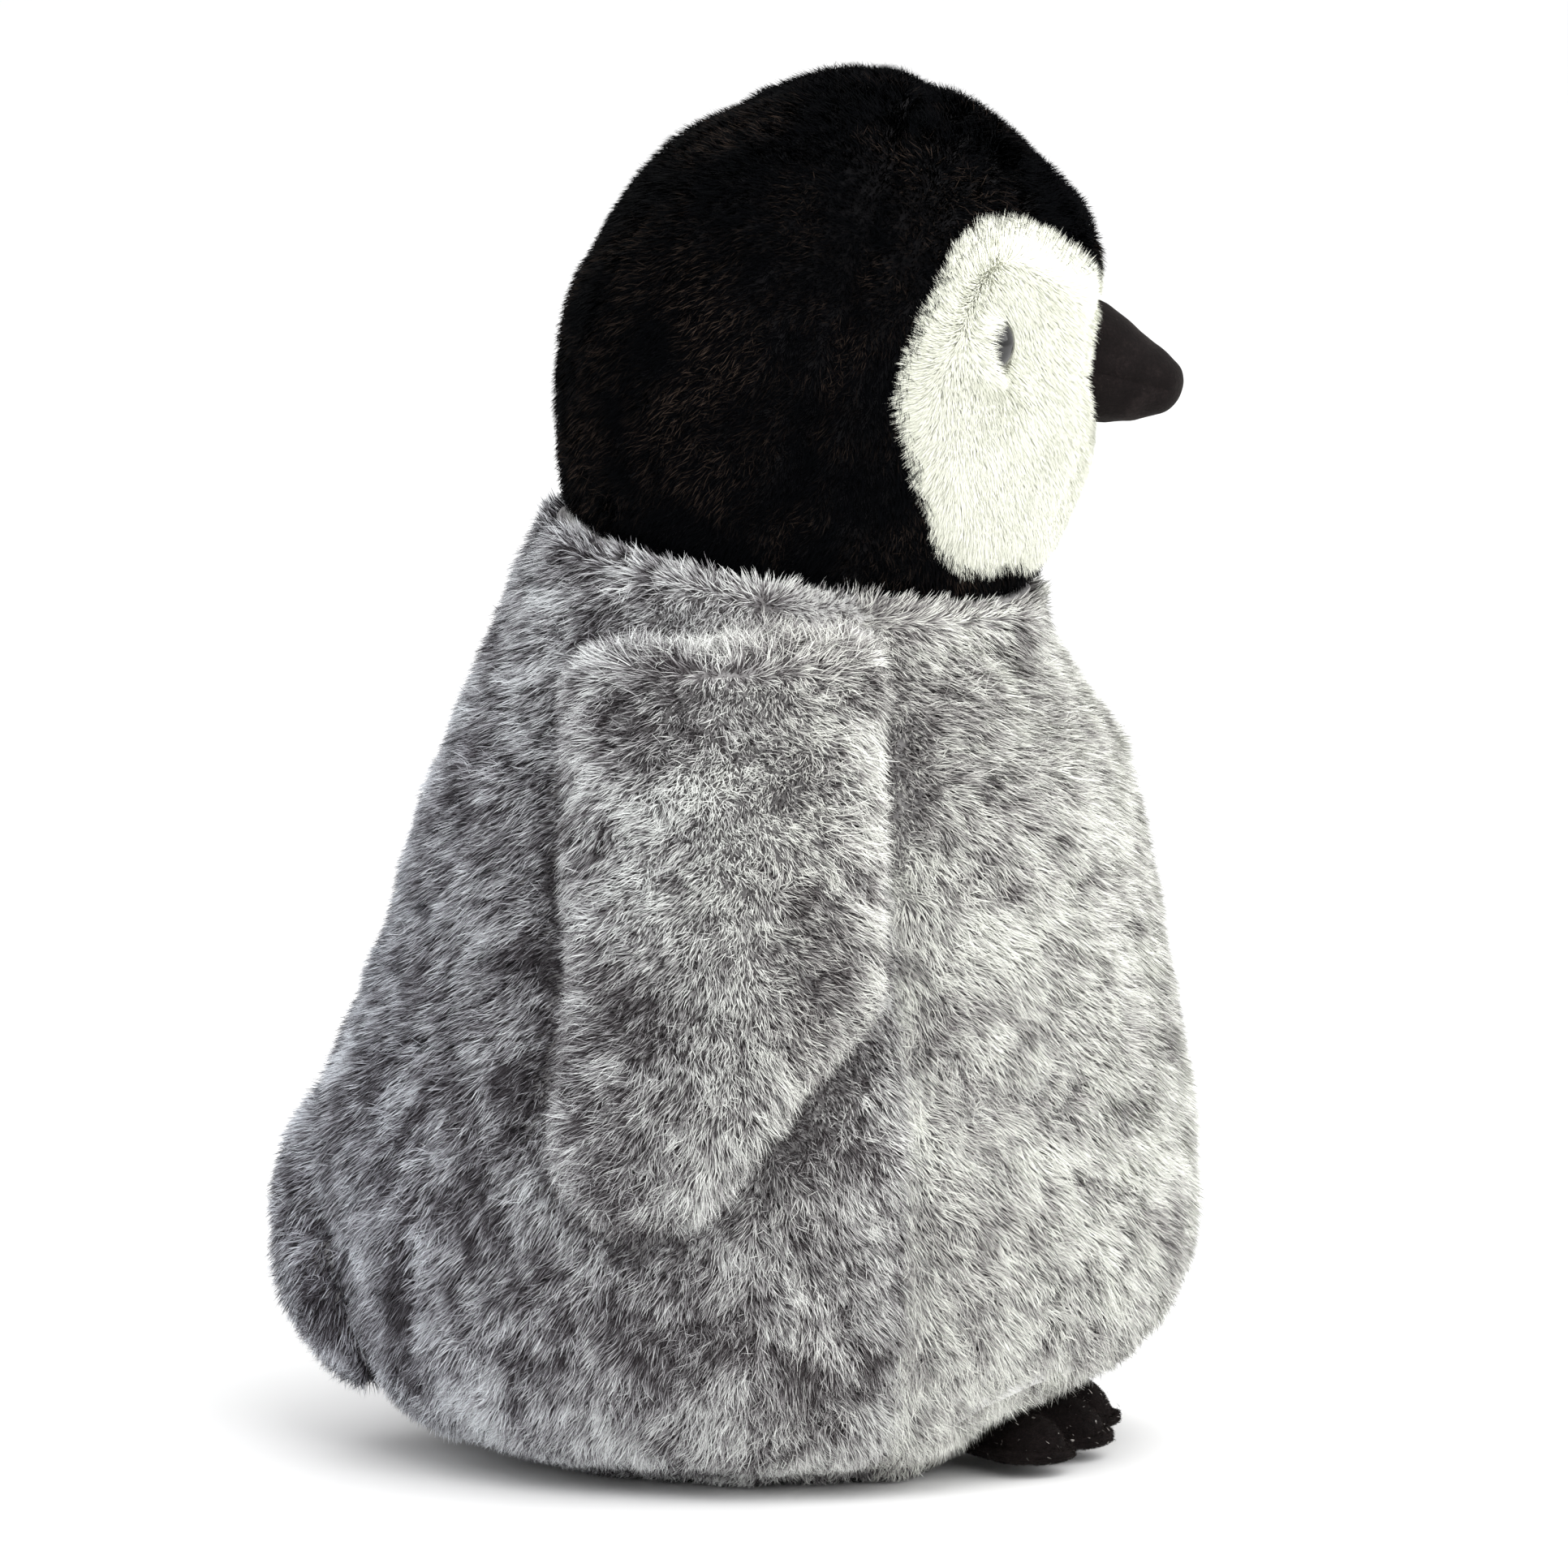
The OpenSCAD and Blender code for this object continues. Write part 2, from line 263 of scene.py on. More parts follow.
class Nodes:
    """A material's node tree, with short names for what is built here."""

    def __init__(self, name, roughness=0.8, specular=0.3, sheen=0.0, tint=(1, 1, 1)):
        self.material = bpy.data.materials.new(name)
        self.material.use_nodes = True
        self.tree = self.material.node_tree
        self.shader = self.tree.nodes["Principled BSDF"]
        self.shader.inputs["Roughness"].default_value = roughness
        self.shader.inputs["Specular IOR Level"].default_value = specular
        self.shader.inputs["Sheen Weight"].default_value = sheen
        self.shader.inputs["Sheen Roughness"].default_value = 0.4
        self.shader.inputs["Sheen Tint"].default_value = (*tint, 1)

    def add(self, kind, **values):
        node = self.tree.nodes.new("ShaderNode" + kind)
        for key, value in values.items():
            setattr(node, key, value)
        return node

    def put(self, value, socket):
        if isinstance(value, bpy.types.NodeSocket):
            self.tree.links.new(value, socket)
        else:
            socket.default_value = value

    def place(self):
        return self.add("TexCoord").outputs["Object"]

    def attribute(self, name, output="Fac"):
        return self.add("Attribute", attribute_name=name).outputs[output]

    def noise(self, vector, scale, detail=2.0, roughness=0.5, distortion=0.0):
        node = self.add("TexNoise")
        self.put(vector, node.inputs["Vector"])
        node.inputs["Scale"].default_value = scale
        node.inputs["Detail"].default_value = detail
        node.inputs["Roughness"].default_value = roughness
        node.inputs["Distortion"].default_value = distortion
        return node.outputs["Fac"]

    def math(self, operation, a, b=0.0, clamp=False):
        node = self.add("Math", operation=operation, use_clamp=clamp)
        self.put(a, node.inputs[0])
        self.put(b, node.inputs[1])
        return node.outputs[0]

    def spread(self, value, low, high, to_low=0.0, to_high=1.0):
        node = self.add("MapRange")
        self.put(value, node.inputs["Value"])
        for key, x in zip(("From Min", "From Max", "To Min", "To Max"), (low, high, to_low, to_high)):
            node.inputs[key].default_value = x
        return node.outputs["Result"]

    def mix(self, factor, a, b, blend="MIX"):
        node = self.add("Mix", data_type="RGBA", blend_type=blend)
        self.put(factor, node.inputs["Factor"])
        self.put((*a, 1) if isinstance(a, tuple) else a, node.inputs["A"])
        self.put((*b, 1) if isinstance(b, tuple) else b, node.inputs["B"])
        return node.outputs["Result"]

    def ramp(self, value, *stops):
        node = self.add("ValToRGB")
        while len(node.color_ramp.elements) < len(stops):
            node.color_ramp.elements.new(0.5)
        for element, (at, colour) in zip(node.color_ramp.elements, stops):
            element.position = at
            element.color = (*colour, 1)
        self.put(value, node.inputs["Fac"])
        return node.outputs["Color"]

    def split(self, vector, axis):
        node = self.add("SeparateXYZ")
        self.put(vector, node.inputs[0])
        return node.outputs[axis]

    def colour(self, socket):
        self.tree.links.new(socket, self.shader.inputs["Base Color"])

    def bump(self, height, strength, distance):
        node = self.add("Bump")
        self.put(height, node.inputs["Height"])
        node.inputs["Strength"].default_value = strength
        node.inputs["Distance"].default_value = distance
        self.tree.links.new(node.outputs["Normal"], self.shader.inputs["Normal"])


def grey_pile(name, tone, warm=0.0, contrast=1.0):
    """Frosted grey pile: broad blotches from dark taupe to off-white, with pale tips. The darker roots are
    partly the frosting and partly painted shade between the strands; the blue tint towards the back is
    painted cool light.
    """
    n = Nodes(name, roughness=0.85, specular=0.12, sheen=0.05)
    root = n.attribute("root", "Vector")
    broad = n.noise(root, 44, 3.0, 0.65, 0.9)
    fine = n.noise(root, 260, 3.0, 0.75, 0.4)
    luck = n.spread(n.attribute("luck"), 0, 1, -0.36, 0.36)
    # Roots darker than tips: partly the frosting, partly painted shade between the strands.
    tip = n.spread(n.attribute("along"), 0.0, 1, -0.60, 0.20)
    shade = n.math("ADD", n.math("MULTIPLY", broad, 2.0), n.math("MULTIPLY", fine, 1.5))
    shade = n.math("ADD", n.math("ADD", shade, n.attribute("tone")), n.math("ADD", luck, tip))
    shade = n.spread(shade, 1.63 - tone - 0.57 / contrast, 1.63 - tone + 0.57 / contrast)
    colour = n.ramp(
        shade,
        (0.0, (0.050, 0.043, 0.045)),
        (0.28, (0.155, 0.143, 0.147)),
        (0.58, (0.47, 0.455, 0.455)),
        (1.0, (0.90, 0.91, 0.87)),
    )
    # Towards the back the colour turns blue: painted cool light.
    painted_cool_light = n.spread(n.split(root, "Y"), -0.01, 0.08)
    blue = n.mix(1.0, colour, (0.87, 0.90, 1.0), "MULTIPLY")
    pale = n.mix(warm, colour, n.mix(1.0, colour, (1.0, 1.0, 0.95), "MULTIPLY"))
    n.colour(n.mix(painted_cool_light, pale, blue))
    return n.material


def black_pile():
    n = Nodes("black_pile", roughness=0.7, specular=0.03)
    root = n.attribute("root", "Vector")
    patch = n.spread(n.noise(root, 38, 2.0), 0.46, 0.66)
    luck = n.spread(n.attribute("luck"), 0.70, 1.0)
    tip = n.spread(n.attribute("along"), 0.2, 1.0)
    # Brown-tinted tips in some patches: painted highlights of strands catching light.
    painted_tip_highlight = n.math("MULTIPLY", n.math("MULTIPLY", patch, luck), tip)
    n.colour(n.mix(painted_tip_highlight, (0.0008, 0.0010, 0.0015), (0.090, 0.063, 0.048)))
    return n.material


def white_pile():
    n = Nodes("white_pile", roughness=0.9, specular=0.05)
    root = n.attribute("root", "Vector")
    shade = n.math("ADD", n.noise(root, 90, 2.0), n.spread(n.attribute("luck"), 0, 1, -0.10, 0.10))
    tip = n.spread(n.attribute("along"), 0, 1, -0.15, 0.1)
    n.colour(n.ramp(n.math("ADD", shade, tip), (0.1, (0.83, 0.84, 0.735)), (0.5, (0.885, 0.895, 0.79))))
    return n.material


def backing(name, dark, light, weave=900):
    """Knitted backing cloth under a pile."""
    n = Nodes(name, roughness=0.9, specular=0.2, sheen=0.1)
    place = n.place()
    mottle = n.noise(place, 60, 3.0)
    knit = n.noise(place, weave, 1.0)
    n.colour(n.mix(n.spread(n.math("ADD", mottle, n.math("MULTIPLY", knit, 0.4)), 0.45, 0.9), dark, light))
    n.bump(knit, 0.5, 0.0004)
    return n.material


def felt():
    """Brushed felt: soft nap, faint wear and a few specks of lint."""
    n = Nodes("dark_felt", roughness=0.92, specular=0.1, sheen=0.05, tint=(0.75, 0.66, 0.6))
    place = n.place()
    nap = n.noise(place, 1400, 3.0, 0.7)
    rub = n.noise(place, 110, 4.0, 0.6, 0.3)
    lint = n.add("TexVoronoi", feature="F1")
    n.put(place, lint.inputs["Vector"])
    lint.inputs["Scale"].default_value = 260
    speck = n.math("MULTIPLY", n.math("LESS_THAN", lint.outputs["Distance"], 0.12),
                   n.math("GREATER_THAN", n.split(lint.outputs["Color"], "X"), 0.9))
    shade = n.math("ADD", n.math("MULTIPLY", rub, 0.7), n.math("MULTIPLY", nap, 0.5))
    base = n.ramp(shade, (0.35, (0.003, 0.0022, 0.0022)), (0.62, (0.0066, 0.0048, 0.0048)),
                  (0.85, (0.019, 0.014, 0.0135)))
    n.colour(n.mix(speck, base, (0.35, 0.33, 0.31)))
    n.bump(n.math("ADD", nap, n.math("MULTIPLY", rub, 1.5)), 0.5, 0.0005)
    return n.material


def felt_nap():
    """The short fibres that stand up from felt, a few of them pale lint."""
    n = Nodes("felt_nap", roughness=0.9, specular=0.06, sheen=0.02, tint=(0.75, 0.66, 0.6))
    luck = n.attribute("luck")
    rub = n.noise(n.attribute("root", "Vector"), 420, 4.0, 0.7)
    shade = n.mix(n.spread(n.math("ADD", rub, n.math("MULTIPLY", luck, 0.4)), 0.45, 0.95),
                  (0.0022, 0.0017, 0.0017), (0.024, 0.0175, 0.0165))
    n.colour(n.mix(n.math("GREATER_THAN", luck, 0.9965), shade, (0.55, 0.52, 0.49)))
    return n.material


def lint():
    """Pale loose threads, some of them dusty."""
    n = Nodes("lint", roughness=0.9, specular=0.1)
    n.colour(n.mix(n.attribute("luck"), (0.10, 0.09, 0.085), (0.62, 0.59, 0.55)))
    return n.material


def moulded(name, dark, light, roughness, coat=0.0, scale=300):
    """Moulded plastic with slight flow marks and a fine surface."""
    n = Nodes(name, roughness=roughness, specular=0.5)
    place = n.place()
    flow = n.noise(place, scale, 3.0, 0.6, 0.5)
    n.colour(n.mix(n.spread(flow, 0.35, 0.7), dark, light))
    n.shader.inputs["Coat Weight"].default_value = coat
    n.shader.inputs["Coat Roughness"].default_value = 0.03
    n.bump(n.noise(place, scale * 4, 2.0), 0.05, 0.0002)
    return n.material


def fibre():
    """Fluffy polyester fill."""
    n = Nodes("fibre_fill", roughness=0.95, specular=0.1, sheen=0.3)
    place = n.place()
    tufts = n.noise(place, 130, 5.0, 0.7, 1.2)
    n.colour(n.mix(n.spread(tufts, 0.35, 0.65), (0.68, 0.68, 0.66), (0.93, 0.93, 0.92)))
    n.bump(tufts, 0.8, 0.002)
    return n.material


GREY = grey_pile("grey_pile", 0.02, 0.0, 1.4)
PALE = grey_pile("pale_pile", 0.27, 0.6, 1.0)
WING = grey_pile("flipper_pile", 0.12, 0.5, 1.4)
BLACK = black_pile()
WHITE = white_pile()
GREY_CLOTH = backing("grey_backing", (0.16, 0.15, 0.15), (0.42, 0.41, 0.41))
BLACK_CLOTH = backing("black_backing", (0.003, 0.003, 0.004), (0.010, 0.009, 0.010))
WHITE_CLOTH = backing("white_backing", (0.84, 0.84, 0.75), (0.90, 0.90, 0.82))
FELT = felt()
NAP = felt_nap()
LINT = lint()
EYE = moulded("eye_plastic", (0.0015, 0.0015, 0.0015), (0.004, 0.0035, 0.0035), 0.10, 0.15)
WASHER = moulded("washer_plastic", (0.70, 0.70, 0.68), (0.84, 0.84, 0.83), 0.45)
PELLETS = moulded("pellets", (0.50, 0.53, 0.55), (0.86, 0.87, 0.86), 0.35, 0.2, 420)
FILL = fibre()
POUCH = backing("pouch_cloth", (0.55, 0.54, 0.50), (0.75, 0.74, 0.70), 1400)


def dress(ob, body, *nodes, material=None):
    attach(ob, body)
    if nodes:
        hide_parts(*nodes)
    if material is not None:
        ob.data.materials.clear()
        ob.data.materials.append(material)
    return ob


# ---- pile ----

LOOSE = (0.25, 0.75, 0.35)  # broad swirls, small tufts and stray strands
SMOOTH = (0.12, 0.18, 0.14)
# Broad darker and paler areas of the sides: (forward, up) in mm, reach in mm, how much paler. The dark area
# at (-12, 47), below the flipper, is painted shade.
TONES = (
    ((-12, 47), 24, -0.18), ((22, 44), 16, -0.12), ((-50, 30), 16, -0.10), ((-61, 64), 12, -0.18),
    ((-41, 42), 12, -0.14), ((-62, 118), 20, -0.05), ((-42, 128), 12, -0.10), ((38, 166), 13, -0.13),
    ((30, 146), 10, -0.14), ((-61, 109), 12, 0.14), ((-65, 168), 12, 0.24), ((-61, 19), 12, 0.32),
    ((48, 60), 26, 0.06), ((72, 48), 26, 0.05), ((42, 131), 13, 0.22), ((30, 19), 16, 0.14),
    ((22, 64), 12, 0.12), ((34, 90), 10, 0.06), ((-40, 192), 16, 0.03), ((48, 104), 10, -0.10),
)
WING_TONES = (
    ((-24, 110), 13, -0.44), ((10, 163), 9, -0.20), ((14, 138), 10, -0.28), ((-22, 172), 12, -0.08),
    ((-41, 174), 8, -0.14), ((-26, 86), 12, -0.34), ((-42, 86), 10, -0.24), ((0, 108), 10, -0.12),
    ((-6, 132), 13, 0.22), ((-24, 140), 12, 0.10), ((-6, 93), 8, 0.26), ((0, 152), 10, 0.22),
    ((18, 176), 14, 0.04), ((10, 112), 10, -0.10), ((-18, 66), 10, 0.06),
)


def toned(at, spots):
    """Paler or darker by named areas. Both sides alike."""
    total = np.zeros((len(at), 1))
    for (ahead, high), reach, amount in spots:
        gap = np.hypot(at[:, 1:2] + ahead * MM, at[:, 2:3] - high * MM) / (reach * MM)
        total += amount * np.exp(-(gap ** 2))
    return total


def strands(name, root, normal, comb, length, width, rise, rng, tone=0.0, ruffle=0.30, floor=0.0004):
    """Pile as tapered blades. comb is the way it lies, rise how far it stands up (0 to 1)."""
    count = len(root)
    comb = unit(comb - dot(comb, normal) * normal)
    low = unit(normal * rise + comb * (1 - rise))
    high = unit(normal * rise * 0.7 + comb * (1 - rise * 0.7))
    mid = root + low * length * 0.5
    tip = mid + high * length * 0.5
    across = unit(np.cross(low, normal) + 1e-6)
    turn = rng.uniform(-1.1, 1.1, (count, 1))
    side = np.cos(turn) * across + np.sin(turn) * np.cross(low, across)
    facing = np.cross(side, low)
    side = np.where(dot(facing, normal) < 0, -side, side) * width * 0.5
    co = np.stack([root - side, root + side, mid + side * 0.8, mid - side * 0.8, tip], axis=1)
    co[..., 2] = np.maximum(co[..., 2], floor)
    shine = unit(normal - dot(normal, low) * low * 0.5)
    bent = unit(shine + ruffle * rng.normal(size=(count, 3)))
    mesh = bpy.data.meshes.new(name)
    mesh.vertices.add(count * 5)
    mesh.vertices.foreach_set("co", co.astype(np.float32).ravel())
    corners = np.array([0, 1, 2, 3, 3, 2, 4])
    mesh.loops.add(count * 7)
    index = np.arange(count)[:, None] * 5 + corners
    mesh.loops.foreach_set("vertex_index", index.ravel().astype(np.int32))
    mesh.polygons.add(count * 2)
    starts = (np.arange(count)[:, None] * 7 + np.array([0, 4])).ravel()
    mesh.polygons.foreach_set("loop_start", starts.astype(np.int32))
    mesh.polygons.foreach_set("use_smooth", np.ones(count * 2, bool))
    cells = math.ceil(math.sqrt(count))
    cell = np.stack([np.arange(count) % cells, np.arange(count) // cells], axis=1)
    shape = np.array([[0.1, 0.05], [0.9, 0.05], [0.9, 0.55], [0.1, 0.55], [0.5, 0.97]])
    uv = (cell[:, None, :] + shape[corners]) / cells
    layer = mesh.uv_layers.new(name="OFBake")
    layer.data.foreach_set("uv", uv.astype(np.float32).ravel())
    facts = (
        ("root", "FLOAT_VECTOR", "vector", np.repeat(root, 5, axis=0)),
        ("along", "FLOAT", "value", np.tile([0, 0, 0.5, 0.5, 1.0], count)),
        ("luck", "FLOAT", "value", np.repeat(rng.random(count), 5)),
        ("tone", "FLOAT", "value", np.repeat(np.broadcast_to(tone, (count, 1)), 5)),
    )
    for label, kind, key, values in facts:
        mesh.attributes.new(label, kind, "POINT").data.foreach_set(key, values.astype(np.float32).ravel())
    mesh.update(calc_edges=True)
    mesh.normals_split_custom_set_from_vertices(np.repeat(bent, 5, axis=0).astype(np.float32))
    return add_object(name, mesh)


def scattered(co, tri, density, rng):
    """Points spread evenly over triangles, with their normals."""
    a, b, c = (co[tri[:, k]] for k in range(3))
    area = np.linalg.norm(np.cross(b - a, c - a), axis=1) / 2
    count = int(area.sum() * density)
    pick = np.searchsorted(np.cumsum(area) / area.sum(), rng.random(count)).clip(0, len(tri) - 1)
    u, v = rng.random((2, count, 1))
    flip = u + v > 1
    u, v = np.where(flip, 1 - u, u), np.where(flip, 1 - v, v)
    normals = vertex_normals(co, tri)
    at = a[pick] * (1 - u - v) + b[pick] * u + c[pick] * v
    na, nb, nc = (normals[tri[pick, k]] for k in range(3))
    return at, unit(na * (1 - u - v) + nb * u + nc * v)


def ruffled(comb, at, rng, swirl, tuft, stray):
    """Pile never lies quite straight: broad swirls, small tufts and stray strands."""
    return (
        unit(comb)
        + swirl * noise(at, 22 * MM, 1)
        + tuft * noise(at, 4 * MM, 2)
        + stray * rng.normal(size=at.shape)
    )


def pile(panel, body, at, normal, comb, material, length, width, rise, seed,
         tone=0.0, ruffle=0.30, lie=LOOSE):
    """The pile of one panel, in pieces of a limited number of strands."""
    rng = np.random.default_rng(seed)
    parts = math.ceil(len(at) / STRANDS_PER_PIECE)
    order = np.argsort(at[:, 2], kind="stable")
    rise, length, tone = (np.broadcast_to(x, (len(at), 1)) for x in (rise, length, tone))
    for part, chosen in enumerate(np.array_split(order, parts)):
        name = f"{panel}_pile_{part + 1}" if parts > 1 else f"{panel}_pile"
        root, up = at[chosen], normal[chosen]
        long = length[chosen] * (1 + 0.22 * noise(root, 7 * MM, 3)[:, :1])
        long = long * rng.uniform(0.72, 1.12, (len(root), 1))
        lift = rise[chosen] + 0.12 * noise(root, 6 * MM, 4)[:, :1] + 0.07 * rng.normal(size=(len(root), 1))
        way = ruffled(comb[chosen], root, rng, *lie)
        ob = strands(name, root, up, way, long, width, np.clip(lift, 0.12, 0.97), rng, tone[chosen], ruffle)
        dress(ob, body, material=material)


def panels(form, names, which, body, cloth):
    """Cuts a form's skin into its sewn panels. which gives each triangle's panel."""
    co, tri = coords(form.data), triangles(form.data)
    for number, (name, node) in enumerate(names):
        faces = tri[which == number]
        used, index = np.unique(faces, return_inverse=True)
        ob = add_object(name, mesh_of(name, co[used], index.reshape(-1, 3)))
        dress(ob, body, node, material=cloth[number] if isinstance(cloth, list) else cloth)


def discard(form):
    """Removes a form once its skin is cut from it."""
    bpy.data.objects.remove(form)


# ---- camera, floor and lights ----

VIEW_AZIMUTH = math.radians(-86)
VIEW_ELEVATION = math.radians(9)
VIEW_DISTANCE = 10.0
FRAME_WIDTH = 0.3439
AIM_RIGHT = 0.00107
AIM_UP = 0.1449

to_camera = Vector((
    math.sin(VIEW_AZIMUTH) * math.cos(VIEW_ELEVATION),
    -math.cos(VIEW_AZIMUTH) * math.cos(VIEW_ELEVATION),
    math.sin(VIEW_ELEVATION),
))
right = Vector((math.cos(VIEW_AZIMUTH), math.sin(VIEW_AZIMUTH), 0))
up = to_camera.cross(right)
camera_data = bpy.data.cameras.new("camera")
camera_data.sensor_width = 36
camera_data.lens = 36 * VIEW_DISTANCE / FRAME_WIDTH
camera_data.clip_end = 40
camera = bpy.data.objects.new("camera", camera_data)
aim = right * AIM_RIGHT + up * AIM_UP
axes = Matrix((right, up, to_camera)).transposed().to_4x4()
camera.matrix_world = Matrix.Translation(aim + to_camera * VIEW_DISTANCE) @ axes
scene.collection.objects.link(camera)
scene.camera = camera


def area_light(name, azimuth, elevation, distance, size, power, colour=(1, 1, 1)):
    """A soft light at an angle round the object, aimed at its middle."""
    data = bpy.data.lights.new(name, "AREA")
    data.energy = power
    data.size = size
    data.color = colour
    lamp = bpy.data.objects.new(name, data)
    a, e = math.radians(azimuth), math.radians(elevation)
    lamp.location = Vector((math.sin(a) * math.cos(e), -math.cos(a) * math.cos(e), math.sin(e))) * distance
    lamp.location.z += 0.15
    target = Vector((0, 0, 0.15)) - lamp.location
    lamp.rotation_euler = target.to_track_quat("-Z", "Y").to_euler()
    scene.collection.objects.link(lamp)


area_light("key", -62, 42, 1.6, 1.5, 20)
area_light("fill", -140, 25, 1.8, 1.2, 3.2, (0.93, 0.96, 1.0))
area_light("front", -5, 30, 1.6, 1.3, 9.5)
area_light("rim", 120, 40, 1.8, 1.0, 6)
world = bpy.data.worlds.new("studio")
scene.world = world
world.use_nodes = True
world.node_tree.nodes["Background"].inputs["Color"].default_value = (1, 1, 1, 1)
world.node_tree.nodes["Background"].inputs["Strength"].default_value = 1.0
scene.view_settings.view_transform = "Standard"

FLOOR_HALF = 6.0
floor = add_object("floor", mesh_of("floor", [
    (-FLOOR_HALF, -FLOOR_HALF, 0), (FLOOR_HALF, -FLOOR_HALF, 0),
    (FLOOR_HALF, FLOOR_HALF, 0), (-FLOOR_HALF, FLOOR_HALF, 0),
], [(0, 1, 2, 3)]))
paper = Nodes("studio_paper", roughness=0.9, specular=0.1)
paper.colour(paper.mix(paper.noise(paper.place(), 3.0), (0.90, 0.90, 0.90), (0.93, 0.93, 0.93)))
floor.data.materials.append(paper.material)

# ---- body ----

NECK = np.array(JOINTS["head_turn"]["pos_m"], float)
NECK_AXIS = unit(np.array(JOINTS["head_turn"]["axis"], float))
BODY_INSET = 3.7 * MM
BASE_R = 58.5 * MM

torso = form_of(
    "torso_form",
    ["belly_panel", "back_panel_left", "back_panel_right", "base_panel", "body_stuffing",
     "bean_pouch", "bean_pellets"],
    4.5 * MM,
)
co, tri = coords(torso.data), triangles(torso.data)
co = relax(co, tri, 6)
normal = vertex_normals(co, tri)
near_neck = smooth(dot(co - NECK, NECK_AXIS), -9 * MM, -3 * MM)
inward = -(normal - near_neck * dot(normal, NECK_AXIS) * NECK_AXIS)
on_base = (1 - smooth(co[:, 2:3], 4 * MM, 12 * MM)) * (np.hypot(co[:, :1], co[:, 1:2]) < BASE_R)
inward = inward * (1 - 0.75 * on_base * np.abs(normal[:, 2:3]))
behind = smooth(co[:, 1:2], 0, 60 * MM) - 0.4 * smooth(-co[:, 1:2], 20 * MM, 60 * MM)
set_coords(torso.data, co + inward * (BODY_INSET + 1.4 * MM - 2.6 * MM * behind))
puff(torso, 4.0, 2 * MM)
subdivide(torso)
co, tri = coords(torso.data), triangles(torso.data)
normal = vertex_normals(co, tri)
angle = np.arctan2(co[:, 0], -co[:, 1])
radius = np.hypot(co[:, 0], co[:, 1])
seam = np.minimum(np.abs(np.abs(angle) - BELLY_HALF_ANGLE), np.pi - np.abs(angle)) * radius
groove = np.exp(-((seam / (4.5 * MM)) ** 2))[:, None]
lumps = 1.6 * MM * noise(co, 34 * MM, 5)[:, :1] + 0.8 * MM * noise(co, 15 * MM, 6)[:, :1]
above = dot(co - NECK, NECK_AXIS)
hold = smooth(co[:, 2:3], 3 * MM, 12 * MM) * (1 - smooth(above, -8 * MM, -2 * MM))
round_tail = ((np.pi - np.abs(angle)) / 0.62) ** 2 + ((co[:, 2] - 64 * MM) / (32 * MM)) ** 2
round_tail = np.exp(-round_tail)[:, None]


def band(co, height, reach, near, far):
    """A swelling of the front round a height. It grows from near to far ahead of the middle."""
    level = np.exp(-(((co[:, 2] - height * MM) / (reach * MM)) ** 2))[:, None]
    return level * smooth(-co[:, 1:2], near * MM, far * MM)


chest = band(co, 150, 20, 20, 60)
low_belly = band(co, 56, 26, 30, 75)
under_belly = band(co, 20, 14, 20, 55)
shape = 10.0 * MM * round_tail + 4.9 * MM * chest + 1.5 * MM * low_belly - 0.5 * MM * under_belly
co = co + normal * (lumps + shape - 1.8 * MM * groove) * hold
co[:, 2] = np.maximum(co[:, 2], 1.2 * MM)
above = dot(co - NECK, NECK_AXIS)
stretch = smooth(above, -12 * MM, -3 * MM) * 3 * MM
co = co + NECK_AXIS * (np.minimum(above + stretch, -0.4 * MM) - above)
set_coords(torso.data, co)

middle = co[tri].mean(axis=1)
facing = unit(across_faces(co, tri))
angle = np.abs(np.arctan2(middle[:, 0], -middle[:, 1]))
is_base = (middle[:, 2] < 7 * MM) & (facing[:, 2] < -0.6) & (np.hypot(middle[:, 0], middle[:, 1]) < BASE_R)
is_base &= middle[:, 1] > -36 * MM
which = np.where(angle < BELLY_HALF_ANGLE, 0, np.where(middle[:, 0] > 0, 1, 2))
which[is_base] = 3
BODY_PANELS = [("belly", "belly_panel"), ("back_left", "back_panel_left"),
               ("back_right", "back_panel_right"), ("base", "base_panel")]
panels(torso, BODY_PANELS, which, "torso", GREY_CLOTH)
neck_face = (dot(middle - NECK, NECK_AXIS)[:, 0] > -5 * MM) & (facing @ NECK_AXIS > 0.75)
flipper_trees = []
for label in ("left", "right"):
    lining = frame["nodes"][f"flipper_inner_{label}"].data
    flipper_trees.append(BVHTree.FromPolygons(coords(lining).tolist(), triangles(lining).tolist()))


def under_flipper(at):
    """1 where the pile lies flat behind a flipper. The same mask darkens the pile there as painted shade."""
    pressed_and_shaded = np.zeros((len(at), 1))
    for i in np.flatnonzero((np.abs(at[:, 0]) > 30 * MM) & (at[:, 2] > 50 * MM)):
        gap = flipper_trees[0 if at[i, 0] > 0 else 1].find_nearest(Vector(at[i]), 12 * MM)[3]
        if gap is not None:
            pressed_and_shaded[i] = 1 - min(max((gap - 5 * MM) / (5 * MM), 0), 1)
    return pressed_and_shaded


